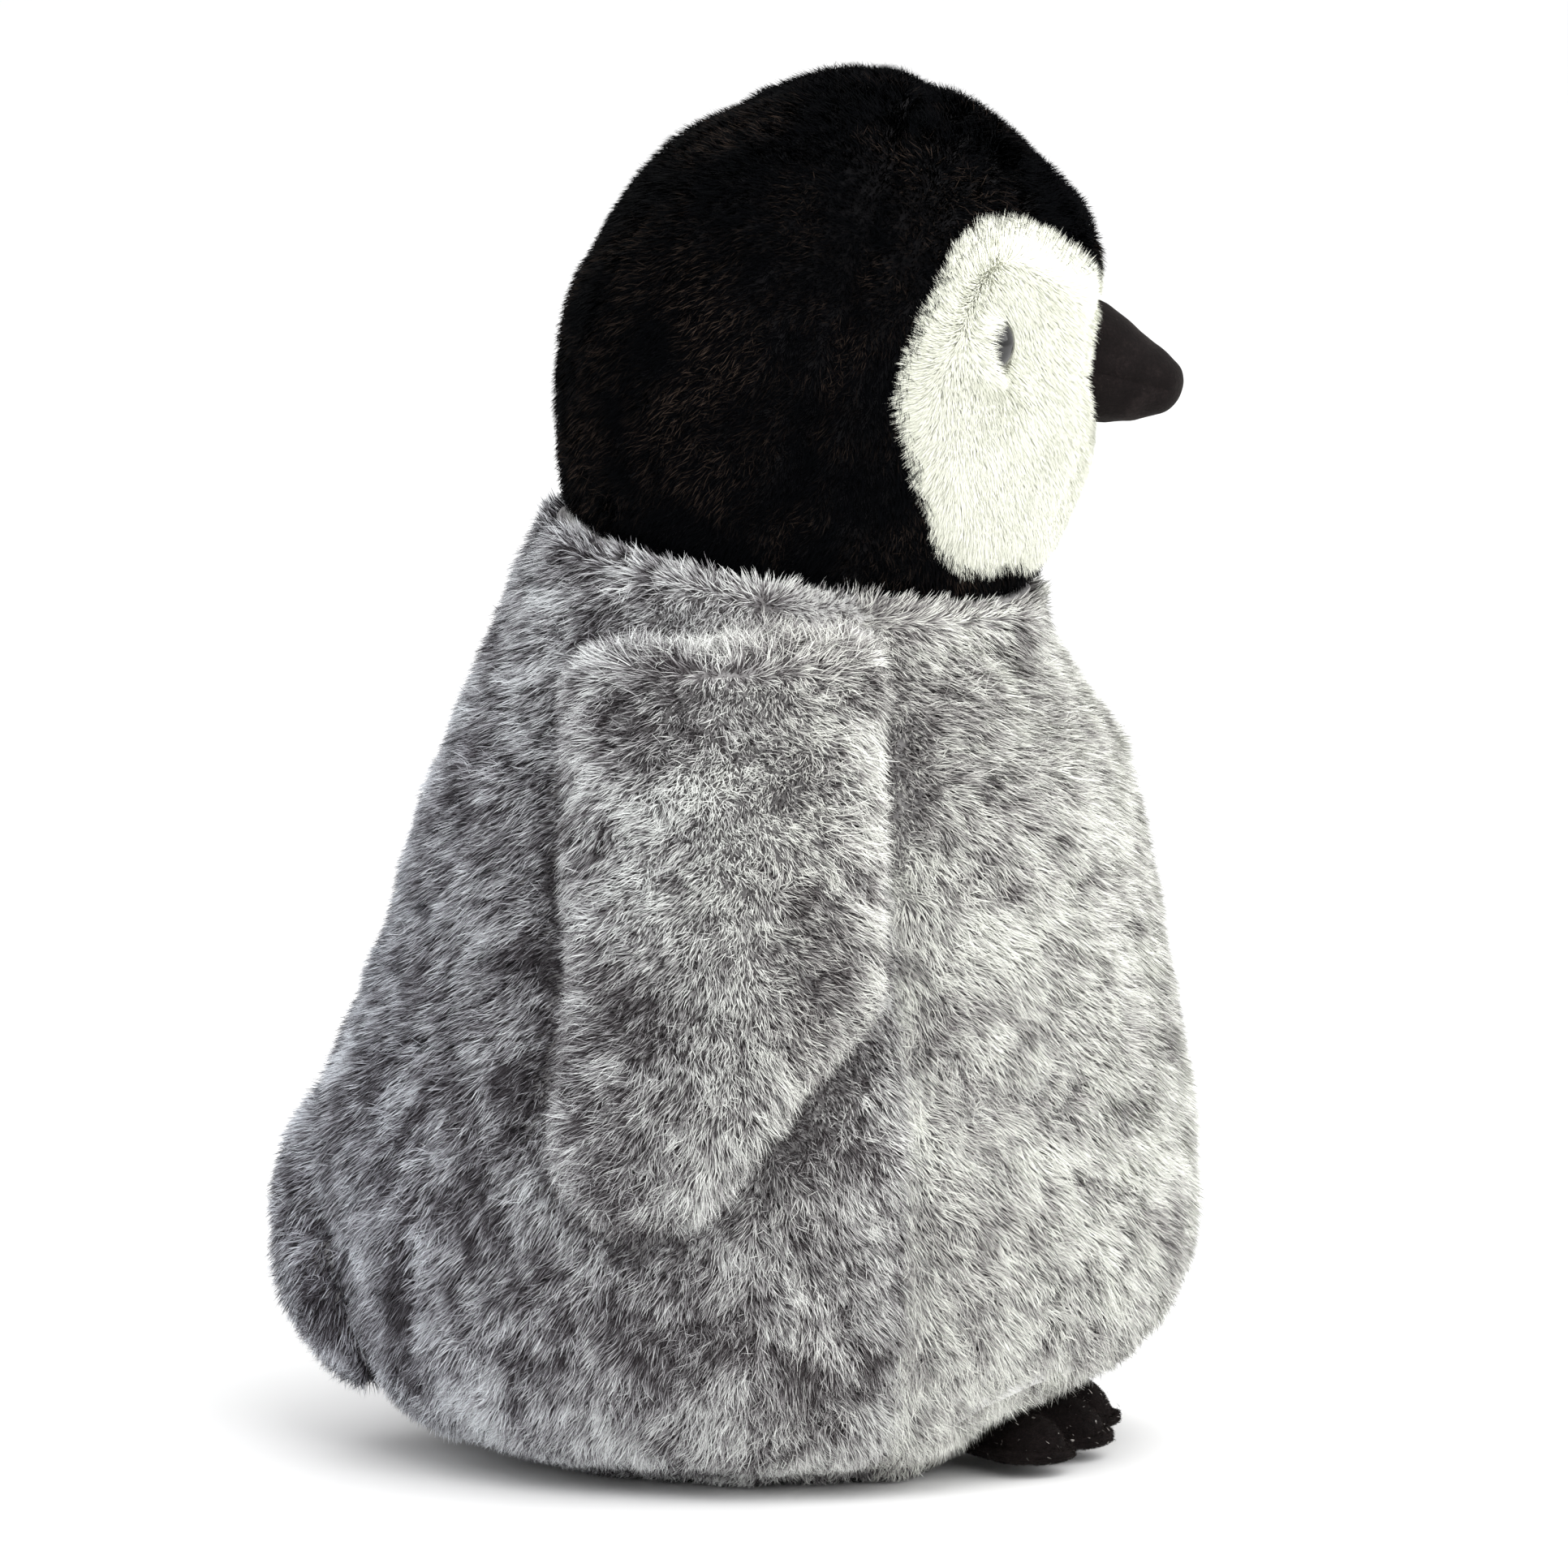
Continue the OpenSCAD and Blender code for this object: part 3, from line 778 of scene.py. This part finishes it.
for number, (name, node) in enumerate(BODY_PANELS):
    rng = np.random.default_rng(20 + number)
    chosen = (which == number) & ~neck_face
    density = BODY_DENSITY * (0.25 if name == "base" else 1)
    at, out = scattered(co, tri[chosen], density, rng)
    comb = -UP + np.array([0, 1.0, 0]) * np.where(at[:, 1:2] < 0, -0.35, 0.35)
    collar = smooth(dot(at - NECK, NECK_AXIS), -9 * MM, -1 * MM)
    under = 1 - smooth(at[:, 2:3], 4 * MM, 16 * MM)
    comb = comb + 1.6 * UP * collar
    pressed_and_shaded = under_flipper(at)
    long = BODY_PILE * (1 - 0.55 * under) * (1 - 0.25 * collar) * (1 - 0.55 * pressed_and_shaded)
    lift = 0.71 + 0.17 * collar - 0.3 * under
    # Near the flippers the pile is coloured darker: painted shade.
    pile(name, "torso", at, out, comb, PALE if name == "belly" else GREY, long, BODY_WIDTH, lift,
         30 + number, toned(at, TONES) - 0.22 * pressed_and_shaded - 0.12 * smooth(at[:, 1:2], 5 * MM, 60 * MM))
discard(torso)

# ---- tail ----

tail = form_of("tail_form", ["tail_upper", "tail_lower", "tail_stuffing"], 3.5 * MM)
co, tri = coords(tail.data), triangles(tail.data)
co = relax(co, tri, 22)
set_coords(tail.data, co - vertex_normals(co, tri) * 3.0 * MM)
puff(tail, 4.0, 3 * MM)
subdivide(tail)
co, tri = coords(tail.data), triangles(tail.data)
normal = vertex_normals(co, tri)
TAIL_SEAM_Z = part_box("tail_lower")[1].z
rim = np.exp(-(((co[:, 2] - TAIL_SEAM_Z) / (4 * MM)) ** 2))[:, None]
full = smooth(co[:, 2:3], 55 * MM, 85 * MM)
co = co + normal * (1.2 * MM * noise(co, 22 * MM, 7)[:, :1] - 0.6 * MM * rim)
co = co + np.array([0, 0, -2.0 * MM]) * (1 - full)
set_coords(tail.data, co)
middle = co[tri].mean(axis=1)
which = np.where(middle[:, 2] > TAIL_SEAM_Z, 0, 1)
TAIL_PANELS = [("tail_top", "tail_upper"), ("tail_under", "tail_lower")]
panels(tail, TAIL_PANELS, which, "torso", GREY_CLOTH)
for number, (name, node) in enumerate(TAIL_PANELS):
    rng = np.random.default_rng(40 + number)
    at, out = scattered(co, tri[which == number], BODY_DENSITY, rng)
    comb = np.array([0, 0.9, -1.0]) + 0.4 * unit(at - np.array([0, 0.09, 0.05]))
    pile(name, "torso", at, out, comb, GREY, BODY_PILE, BODY_WIDTH, 0.68, 44 + number, -0.10)
discard(tail)

# ---- flippers ----

# The sewn root of a flipper reaches into the shoulder, so a raised flipper stays joined to the body.
FLIPPER_ROOT = np.array([54.5, -7, 187]) * MM
FLIPPER_ROOT_HALF = np.array([11, 24, 7.5]) * MM
FLIPPER_HINGE_X, _, FLIPPER_HINGE_Z = JOINTS["flipper_left_lift"]["pos_m"]
SEWN_REACH = 4 * MM


def make_flipper(side, label):
    """One flipper: a flat stuffed paddle with a seam round its edge. side is 1 for the left."""
    nodes = [f"flipper_outer_{label}", f"flipper_inner_{label}", f"flipper_wadding_{label}"]
    root = np.array([side * FLIPPER_ROOT[0], *FLIPPER_ROOT[1:]])
    form = form_of("flipper_form", nodes, 3.5 * MM, extra=(root, FLIPPER_ROOT_HALF))
    co, tri = coords(form.data), triangles(form.data)
    co = relax(co, tri, 9)
    set_coords(form.data, co - vertex_normals(co, tri) * 2.6 * MM)
    puff(form, 4.0, 3 * MM)
    subdivide(form)
    co, tri = coords(form.data), triangles(form.data)
    normal = vertex_normals(co, tri)
    co = co + normal * 1.3 * MM * noise(co, 24 * MM, 8 + side)[:, :1]
    set_coords(form.data, co)
    facing = unit(across_faces(co, tri))
    which = np.where(facing[:, 0] * side > 0, 0, 1)
    body = f"flipper_{label}"
    names = [(f"flipper_front_{label}", nodes[0]), (f"flipper_lining_{label}", nodes[1])]
    panels(form, names, which, body, GREY_CLOTH)
    low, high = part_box(nodes[0])
    centre = np.array([0, (low.y + high.y) / 2, low.z + 0.6 * (high.z - low.z)])
    for number, (name, node) in enumerate(names):
        rng = np.random.default_rng(60 + 5 * side + number)
        at, out = scattered(co, tri[which == number], BODY_DENSITY * (1, 0.5)[number], rng)
        outward, upward = side * at[:, 0] - FLIPPER_HINGE_X, at[:, 2] - FLIPPER_HINGE_Z
        sewn_in = (outward < SEWN_REACH) & (upward > 0.4 * outward - SEWN_REACH)
        at, out = at[~sewn_in], out[~sewn_in]
        across = (at[:, 1:2] - centre[1]) / ((high.y - low.y) / 2)
        top = smooth(at[:, 2:3], high.z - 10 * MM, high.z - 3 * MM)
        foot = 1 - smooth(at[:, 2:3], low.z + 4 * MM, low.z + 24 * MM)
        edge = np.clip(np.maximum(smooth(np.abs(across), 0.55, 0.95), np.maximum(top, foot)), 0, 1)
        comb = -UP * (0.8 - 1.6 * top) + np.array([0, 1.0, 0]) * across * (1.1 - 0.5 * top)
        long = BODY_PILE * (1.0, 0.7)[number] * (1 + 0.15 * edge)
        pile(name, body, at, out, comb, WING, long, BODY_WIDTH, 0.76 - 0.34 * edge,
             70 + 5 * side + number, toned(at, WING_TONES) - 0.02 * edge)
    discard(form)


make_flipper(1, "left")
make_flipper(-1, "right")

# ---- head ----

BEAK_ROOT = np.array([0, -61.4, 242.8]) * MM
BEAK_DROOP = math.radians(16.5)
BEAK_AXIS = np.array([0, -math.cos(BEAK_DROOP), -math.sin(BEAK_DROOP)])
BEAK_TOP = np.array([0, -math.sin(BEAK_DROOP), math.cos(BEAK_DROOP)])
BEAK_LENGTH = 28 * MM
BEAK_R = 13.5 * MM
BEAK_WIDE = 0.93
MOUTH_CORNERS = [BEAK_ROOT + np.array([side * BEAK_R, 0, 0]) - 2.5 * MM * BEAK_TOP for side in (1, -1)]
HEAD_AXIS = NECK_AXIS
HEAD_X = np.array([1.0, 0, 0])
HEAD_Y = np.cross(HEAD_AXIS, HEAD_X)


def in_head(local):
    return NECK + local[:, :1] * HEAD_X + local[:, 1:2] * HEAD_Y + local[:, 2:] * HEAD_AXIS


def from_head(at):
    d = at - NECK
    return np.stack([d @ HEAD_X, d @ HEAD_Y, d @ HEAD_AXIS], axis=1)


def off_beak(at):
    """Distance of points from the beak's own axis."""
    away = at - BEAK_ROOT
    return np.linalg.norm(away - dot(away, BEAK_AXIS) * BEAK_AXIS, axis=1)


def head_outline(steps=26):
    """Radius and height up the head's own axis, from the neck to the crown."""
    flare = HEAD_R - NECK_R
    jaw_r = (HEAD_RISE ** 2 + flare ** 2) / (2 * flare)
    rise = np.linspace(0, HEAD_RISE, steps // 2, endpoint=False)
    jaw = np.stack([HEAD_R - jaw_r + np.sqrt(jaw_r ** 2 - (HEAD_RISE - rise) ** 2), rise], axis=1)
    turn = np.linspace(0, math.pi / 2, steps)[:-1]
    dome = np.stack([HEAD_R * np.cos(turn), HEAD_RISE + HEAD_R * np.sin(turn)], axis=1)
    return np.concatenate([jaw, dome])


def lathe(outline, top, around=72):
    """A closed form turned about the head's axis."""
    turn = np.linspace(0, 2 * math.pi, around, endpoint=False)
    rings = [np.stack([r * np.sin(turn), -r * np.cos(turn), np.full(around, z)], axis=1) for r, z in outline]
    co = np.concatenate(rings + [np.array([[0, 0, outline[0][1]], [0, 0, top]])])
    faces = []
    last = (len(outline) - 1) * around
    for i in range(around):
        j = (i + 1) % around
        faces.append((len(co) - 2, j, i))
        faces.append((len(co) - 1, last + i, last + j))
        for ring in range(0, last, around):
            faces.append((ring + i, ring + j, ring + around + j, ring + around + i))
    return co, faces


def hull(points):
    """Convex outline round points, anticlockwise."""
    points = sorted(map(tuple, points))
    turns = []
    for path in (points, points[::-1]):
        half = []
        for p in path:
            while len(half) > 1 and (half[-1][0] - half[-2][0]) * (p[1] - half[-2][1]) <= (
                half[-1][1] - half[-2][1]
            ) * (p[0] - half[-2][0]):
                half.pop()
            half.append(p)
        turns += half[:-1]
    return np.array(turns)


def hull_of(circles, around):
    """Convex outline round circles, each (across, up, radius) in mm."""
    return hull([
        ((x + r * math.cos(a)) * MM, (y + r * math.sin(a)) * MM)
        for x, y, r in circles
        for a in np.linspace(0, 2 * math.pi, around, endpoint=False)
    ])


def inside_hull(points, outline):
    """How far points are inside a convex outline, less than 0 outside it."""
    a, edge = outline, unit(np.roll(outline, -1, axis=0) - outline)
    return np.min(
        edge[None, :, 0] * (points[:, None, 1] - a[None, :, 1])
        - edge[None, :, 1] * (points[:, None, 0] - a[None, :, 0]),
        axis=1,
    )


PATCH = hull_of(((3, 48, 24), (-2, 28, 18.5), (0, 60.5, 21), (-37, 60, 5), (-40, 14, 5)), 48)

# Where the head leaves a plain dome: direction in its frame, amount in mm, and how narrow.
HEAD_SHAPE = (
    ((0, 0.65, 0.75), -3.0, 0.72), ((0, 0, 1), -2.1, 0.72), ((0, 1, -0.35), 1.2, 0.72),
    ((0, -0.6, 0.8), 0.4, 0.8), ((0, -0.94, 0.34), 3.2, 0.92), ((0, -0.94, -0.34), 2.2, 0.80),
)


EYE_PLACE = math.radians(47)  # round the head from the front
EYE_TURN = math.radians(12)  # the way it looks, from the front
EYE_DEPTH, EYE_RISE = 54 * MM, 58 * MM
EYE_CLEAR = 6.2 * MM  # no pile this near an eye's axis
EYE_BACK = 9 * MM  # how far behind its base that axis counts


class Eye:
    """Where an eye sits: the fabric behind it, the way it looks, and the way to its outer edge."""

    def __init__(self, sign):
        place, turn = EYE_PLACE, EYE_TURN
        at = np.array([[sign * EYE_DEPTH * math.sin(place), -EYE_DEPTH * math.cos(place), EYE_RISE]])
        self.sign = sign
        self.base = in_head(at)[0]
        self.axis = sign * math.sin(turn) * HEAD_X - math.cos(turn) * HEAD_Y
        self.side = sign * math.cos(turn) * HEAD_X + math.sin(turn) * HEAD_Y

    def around(self, at):
        """Distance of points from the eye's own axis."""
        away = at - self.base
        return np.linalg.norm(away - dot(away, self.axis) * self.axis, axis=1, keepdims=True)


EYES = [Eye(1), Eye(-1)]


def patch_depth(local):
    """How far a point of the head, in its own frame, is inside the white patch of its side."""
    s, c = math.sin(PATCH_TURN), math.cos(PATCH_TURN)
    back = np.abs(local[:, 0]) * c + local[:, 1] * s
    ahead = np.abs(local[:, 0]) * s - local[:, 1] * c
    flat = np.stack([back, local[:, 2]], axis=1)
    return np.where(ahead > 0, inside_hull(flat, PATCH), -1.0)


outline = [(max(r - HEAD_INSET, 0.001), z) for r, z in head_outline()]
local, faces = lathe(outline, HEAD_RISE + HEAD_R - HEAD_INSET)
head = add_object("head_form", mesh_of("head_form", in_head(local), faces))
remesh(head, 3.6 * MM)
puff(head, 3.0, 0.8 * MM, 10)
subdivide(head)
co, tri = coords(head.data), triangles(head.data)
normal = vertex_normals(co, tri)
local = from_head(co)
side_seam = np.abs(local[:, 1] + SEAM_LEAN * local[:, 2] - SEAM_Y)
back_seam = np.where(local[:, 1] > 0, np.abs(local[:, 0]), 1.0)
groove = np.exp(-((np.minimum(side_seam, back_seam) / (3 * MM)) ** 2))
inset = patch_depth(local)
border = np.exp(-((inset / (2.5 * MM)) ** 2))
move = -1.3 * MM * groove - 0.8 * MM * border + 0.8 * MM * noise(co, 30 * MM, 9)[:, 0]
move = move + 0.8 * MM * smooth(inset, 1 * MM, 8 * MM)
for eye in EYES:
    for spot, amount, reach in ((eye.base - 4 * MM * eye.side + 3 * MM * eye.axis, -4.2, 8.5),
                                (eye.base + 9 * MM * eye.side - 1 * MM * eye.axis, 2.2, 6.5)):
        gap = np.linalg.norm(co - spot, axis=1)
        move = move + amount * MM * np.exp(-((gap / (reach * MM)) ** 2))
for at in MOUTH_CORNERS:
    gap = np.linalg.norm(co - at, axis=1)
    move = move - 3.0 * MM * np.exp(-((gap / (5 * MM)) ** 2))
ray = unit(co - in_head(np.array([[0, 0, HEAD_RISE]])))
by_beak = np.maximum(smooth(off_beak(co), BEAK_R, BEAK_R + 7 * MM), co[:, 1] > 0)
for way, amount, narrow in HEAD_SHAPE:
    move = move + amount * MM * smooth(ray @ unit(np.array(way)), narrow, 1.0) * by_beak
move = move * smooth(local[:, 2], 0.5 * MM, 6 * MM)
co = co + normal * move[:, None]
set_coords(head.data, co)
middle = from_head(co[tri].mean(axis=1))
white = patch_depth(middle) > 0
ahead = middle[:, 1] + SEAM_LEAN * middle[:, 2] < SEAM_Y
which = np.where(ahead, 0, np.where(middle[:, 0] > 0, 1, 2))
which[white] = np.where(middle[white, 0] > 0, 3, 4)
HEAD_PANELS = [("head_front_plush", "head_front"), ("head_back_plush_left", "head_back_left"),
               ("head_back_plush_right", "head_back_right"), ("face_plush_left", "face_left"),
               ("face_plush_right", "face_right")]
panels(head, HEAD_PANELS, which, "head", [BLACK_CLOTH] * 3 + [WHITE_CLOTH] * 2)
filling = add_object("head_fill", mesh_of("head_fill", co - vertex_normals(co, tri) * 1.6 * MM, tri))
dress(filling, "head", "head_stuffing", material=FILL)
facing = unit(across_faces(co, tri))
neck_face = (middle[:, 2] < 2 * MM) & (facing @ HEAD_AXIS < -0.6)
for number, (name, node) in enumerate(HEAD_PANELS):
    rng = np.random.default_rng(80 + number)
    chosen = (which == number) & ~neck_face
    bright = number > 2
    at, out = scattered(co, tri[chosen], FACE_DENSITY if bright else HEAD_DENSITY, rng)
    gaps = [np.where((at - eye.base) @ eye.axis > -EYE_BACK, eye.around(at)[:, 0], 1) for eye in EYES]
    keep = np.min(gaps, axis=0) > EYE_CLEAR
    at, out = at[keep], out[keep]
    if bright:
        eye = EYES[0 if number == 3 else 1]
        centre = in_head(np.array([[eye.sign * math.sin(PATCH_TURN), -math.cos(PATCH_TURN), 0.8]]) * HEAD_R)
        close = np.exp(-(((eye.around(at) - 6 * MM) / (2.6 * MM)) ** 2))
        close = close * smooth(dot(at - eye.base, eye.side), -2 * MM, 5 * MM)
        fringe = 1 - smooth(off_beak(at)[:, None], BEAK_R, BEAK_R + 5 * MM)
        edge = 1 - smooth(patch_depth(from_head(at))[:, None], 0, 9 * MM)
        comb = -UP * (1 - edge) + unit(at - centre) * (0.25 + edge)
        comb = comb * (1 - close) * (1 - fringe)
        comb = comb + (eye.axis - 0.3 * eye.side) * close + 2 * BEAK_AXIS * fringe
        mouth = np.min([np.linalg.norm(at - m, axis=1, keepdims=True) for m in MOUTH_CORNERS], axis=0)
        soft = np.maximum(np.maximum(edge * (1 - fringe), close), 0.7 * fringe)
        long = FACE_PILE * (0.62 + 0.42 * soft) * (1 - 0.7 * np.exp(-((mouth / (4 * MM)) ** 2)))
        pile(name, "head", at, out, comb, WHITE, long, FACE_WIDTH, 0.62 - 0.06 * edge + 0.1 * close,
             90 + number, 0.0, 0.05, SMOOTH)
    else:
        comb = np.broadcast_to([0, 0.75, -1.0], at.shape)
        pile(name, "head", at, out, comb, BLACK, HEAD_PILE, HEAD_WIDTH, 0.66, 90 + number, 0.0, 0.2)
discard(head)

# ---- beak ----

def bezier(points, steps):
    """Points along a cubic, without its last."""
    a, b, c, d = (np.array(p, float) for p in points)
    t = np.linspace(0, 1, steps, endpoint=False)[:, None]
    return a * (1 - t) ** 3 + 3 * b * t * (1 - t) ** 2 + 3 * c * t * t * (1 - t) + d * t ** 3


def beak_outline():
    r, l = BEAK_R, BEAK_LENGTH
    return np.concatenate([
        [(r * 0.97, -5 * MM), (r * 0.99, -2 * MM)],
        bezier([(r, 0), (r, l * 0.38), (r * 0.76, l * 0.66), (r * 0.5, l * 0.87)], 26),
        bezier([(r * 0.5, l * 0.87), (r * 0.4, l * 0.96), (r * 0.2, l), (0.0, l)], 16),
    ])


def add_lint(name, body, at, out, rng):
    """A few pale threads caught flat on the felt."""
    some = rng.choice(len(at), len(at) // 340, replace=False)
    root = at[some] + out[some] * 0.9 * MM
    lint = strands(name + "_lint", root, out[some], rng.normal(size=root.shape),
                   1.3 * MM * rng.uniform(0.25, 1.2, (len(root), 1)), 0.15 * MM, 0.15, rng)
    dress(lint, body, material=LINT)


def make_beak_half(name, node, sign, seed, steps=56):
    """Half of the felt beak. Its edges meet the other half's in a seam along the sides."""
    turn = np.linspace(0, math.pi, steps)
    outline = beak_outline()
    r, l = outline[:, :1], outline[:, 1:]
    across = np.cos(turn) * r * BEAK_WIDE
    high = np.sin(turn) * r
    if sign > 0:
        high = high * (1 - 0.16 * smooth(l, 6 * MM, 22 * MM))
    seam = np.exp(-((np.minimum(turn, math.pi - turn) * r / (1.1 * MM)) ** 2))
    shrink = 1 - 0.75 * MM * seam / np.maximum(r, 2 * MM)
    flat = (BEAK_ROOT + across[..., None] * shrink[..., None] * [1, 0, 0]
            + sign * high[..., None] * shrink[..., None] * BEAK_TOP
            + l[..., None] * BEAK_AXIS)
    co = flat.reshape(-1, 3)
    outward = unit(co - (BEAK_ROOT + ((co - BEAK_ROOT) @ BEAK_AXIS)[:, None] * BEAK_AXIS))
    co = co + outward * (0.55 * MM * noise(co, 9 * MM, 21)[:, :1] + 0.2 * MM * noise(co, 3 * MM, 22)[:, :1])
    rows = len(outline)
    co = np.concatenate([co, (BEAK_ROOT + BEAK_AXIS * BEAK_LENGTH)[None]])
    faces = []
    for i in range(rows):
        for k in range(steps - 1):
            a, b = i * steps + k, i * steps + k + 1
            if i < rows - 1:
                faces.append((a, b, b + steps, a + steps)[::-sign])
            else:
                faces.append((a, b, len(co) - 1)[::-sign])
    ob = add_object(name, mesh_of(name, co, faces))
    dress(ob, "head", node, material=FELT)
    rng = np.random.default_rng(seed)
    at, out = scattered(co, triangles(ob.data), NAP_DENSITY, rng)
    fuzz = strands(name + "_nap", at, out, BEAK_AXIS + 0.9 * rng.normal(size=at.shape),
                   1.2 * MM * rng.uniform(0.4, 1.3, (len(at), 1)), 0.11 * MM, 0.5, rng)
    dress(fuzz, "head", material=NAP)
    add_lint(name, "head", at, out, rng)


make_beak_half("beak_felt_upper", "beak_upper", 1, 101)
make_beak_half("beak_felt_lower", "beak_lower", -1, 102)

# ---- feet ----

FOOT_X = 22.5 * MM
FOOT_FLANGE = 5.0 * MM
FOOT_SOLE = 3.2 * MM
FOOT_PUFF = 7.6 * MM
FLANGE = 1.8 * MM
HEEL = (0, -48, 8)
TOES = ((-10, -63, 11), (10.5, -57.5, 9.5))
FOOT_LOBES = [hull_of((HEEL, toe), 64) for toe in TOES]


def inside_foot(points):
    return np.max([inside_hull(points, lobe) for lobe in FOOT_LOBES], axis=0)


def foot_outline(steps=150):
    """The sewn edge of a foot, walked round from a point inside it."""
    centre = np.array([0.4, -51.5]) * MM
    turn = np.linspace(0, 2 * math.pi, 2400, endpoint=False)
    ray = np.stack([np.cos(turn), np.sin(turn)], axis=1)
    low, high = np.zeros(len(turn)), np.full(len(turn), 5 * MM)
    while True:
        out = inside_foot(centre + ray * high[:, None]) < 0
        if out.all():
            break
        low = np.where(out, low, high)
        high = np.where(out, high, high + 0.4 * MM)
    for _ in range(14):
        half = (low + high) / 2
        out = inside_foot(centre + ray * half[:, None]) < 0
        low, high = np.where(out, low, half), np.where(out, half, high)
    edge = centre + ray * low[:, None]
    walked = np.concatenate([[0], np.cumsum(np.linalg.norm(np.roll(edge, -1, axis=0) - edge, axis=1))])
    want = np.linspace(0, walked[-1], steps, endpoint=False)
    ring = np.concatenate([edge, edge[:1]])
    return np.stack([np.interp(want, walked, ring[:, k]) for k in (0, 1)], axis=1)


FOOT_EDGE = foot_outline()


def foot_sheet():
    """Points and triangles over a foot's outline, its edge points first."""
    low, high = FOOT_EDGE.min(axis=0), FOOT_EDGE.max(axis=0)
    step = 0.85 * MM
    grid = np.stack(np.meshgrid(np.arange(low[0], high[0], step), np.arange(low[1], high[1], step)), axis=-1)
    grid = grid.reshape(-1, 2)
    grid = grid[inside_foot(grid) > 0.6 * MM]
    points = np.concatenate([FOOT_EDGE, grid])
    count = len(FOOT_EDGE)
    loop = [(i, (i + 1) % count) for i in range(count)]
    found = delaunay_2d_cdt([Vector(p * 1000) for p in points], loop, [], 1, 1e-4)
    return np.array([tuple(v) for v in found[0]]) / 1000, found[2]


def foot_solid(name, flat, faces, top, bottom):
    """A closed piece between two height fields over the foot's outline."""
    count = len(flat)
    co = np.concatenate([np.column_stack([flat, top]), np.column_stack([flat, bottom])])
    sides = [side for f in faces for side in zip(f, (*f[1:], f[0]))]
    met = set(sides)
    solid = [tuple(f) for f in faces] + [tuple(count + i for i in f[::-1]) for f in faces]
    solid += [(b, a, count + a, count + b) for a, b in sides if (b, a) not in met]
    return add_object(name, mesh_of(name, co, solid))


def make_foot(side, label):
    flat, faces = foot_sheet()
    depth = inside_foot(flat)
    t = np.clip((depth - FLANGE) / (8.4 * MM), 0, 1)
    at = np.column_stack([flat * [side, 1] + [side * FOOT_X, 0], np.zeros(len(flat))])
    puffed = FOOT_PUFF * np.sqrt(1 - (1 - t) ** 2) ** 1.25
    pucker = 0.30 * MM * noise(at, 5 * MM, 31)[:, 0] + 0.15 * MM * noise(at, 2.2 * MM, 32)[:, 0]
    stitch_line = np.exp(-(((depth - FLANGE) / (0.6 * MM)) ** 2))
    lift = 0.5 * MM * noise(at, 12 * MM, 33)[:, 0]
    top = FOOT_FLANGE + 0.9 * MM + puffed + pucker - 0.5 * MM * stitch_line + lift * 0.5
    middle = FOOT_FLANGE + lift * 0.5 - 0.25 * MM * (depth < 0.5 * MM)
    bottom = FOOT_SOLE + 0.9 * MM * (1 - smooth(depth, 0, 2.5 * MM))
    turned = [f if side > 0 else f[::-1] for f in faces]
    upper = foot_solid(f"foot_felt_upper_{label}", at[:, :2], turned, top, middle + 0.05 * MM)
    sole = foot_solid(f"foot_felt_sole_{label}", at[:, :2], turned, middle - 0.05 * MM, bottom)
    dress(upper, "torso", f"foot_upper_{label}", f"foot_stuffing_{label}", material=FELT)
    dress(sole, "torso", f"foot_sole_{label}", material=FELT)
    for ob, seed in ((upper, 111), (sole, 113)):
        rng = np.random.default_rng(seed + side)
        root, out = scattered(coords(ob.data), triangles(ob.data), NAP_DENSITY * 0.8, rng)
        way = np.array([0, -0.5, 0]) + 0.9 * rng.normal(size=root.shape)
        fuzz = strands(ob.name + "_nap", root, out, way, 0.8 * MM * rng.uniform(0.4, 1.3, (len(root), 1)),
                       0.10 * MM, 0.45, rng, floor=FOOT_SOLE - 0.5 * MM)
        dress(fuzz, "torso", material=NAP)
        add_lint(ob.name, "torso", root, out, rng)


make_foot(1, "left")
make_foot(-1, "right")

# ---- carried-over nodes ----

KEPT = {
    "body_stuffing": FILL, "tail_stuffing": FILL, "beak_stuffing": FILL,
    "flipper_wadding_left": FILL, "flipper_wadding_right": FILL,
    "bean_pouch": POUCH, "bean_pellets": PELLETS,
    "eye_left": EYE, "eye_right": EYE, "eye_washer_left": WASHER, "eye_washer_right": WASHER,
}
for node, material in KEPT.items():
    ob = frame["nodes"][node]
    for slot in ob.material_slots:
        slot.link = "OBJECT"
        slot.material = material
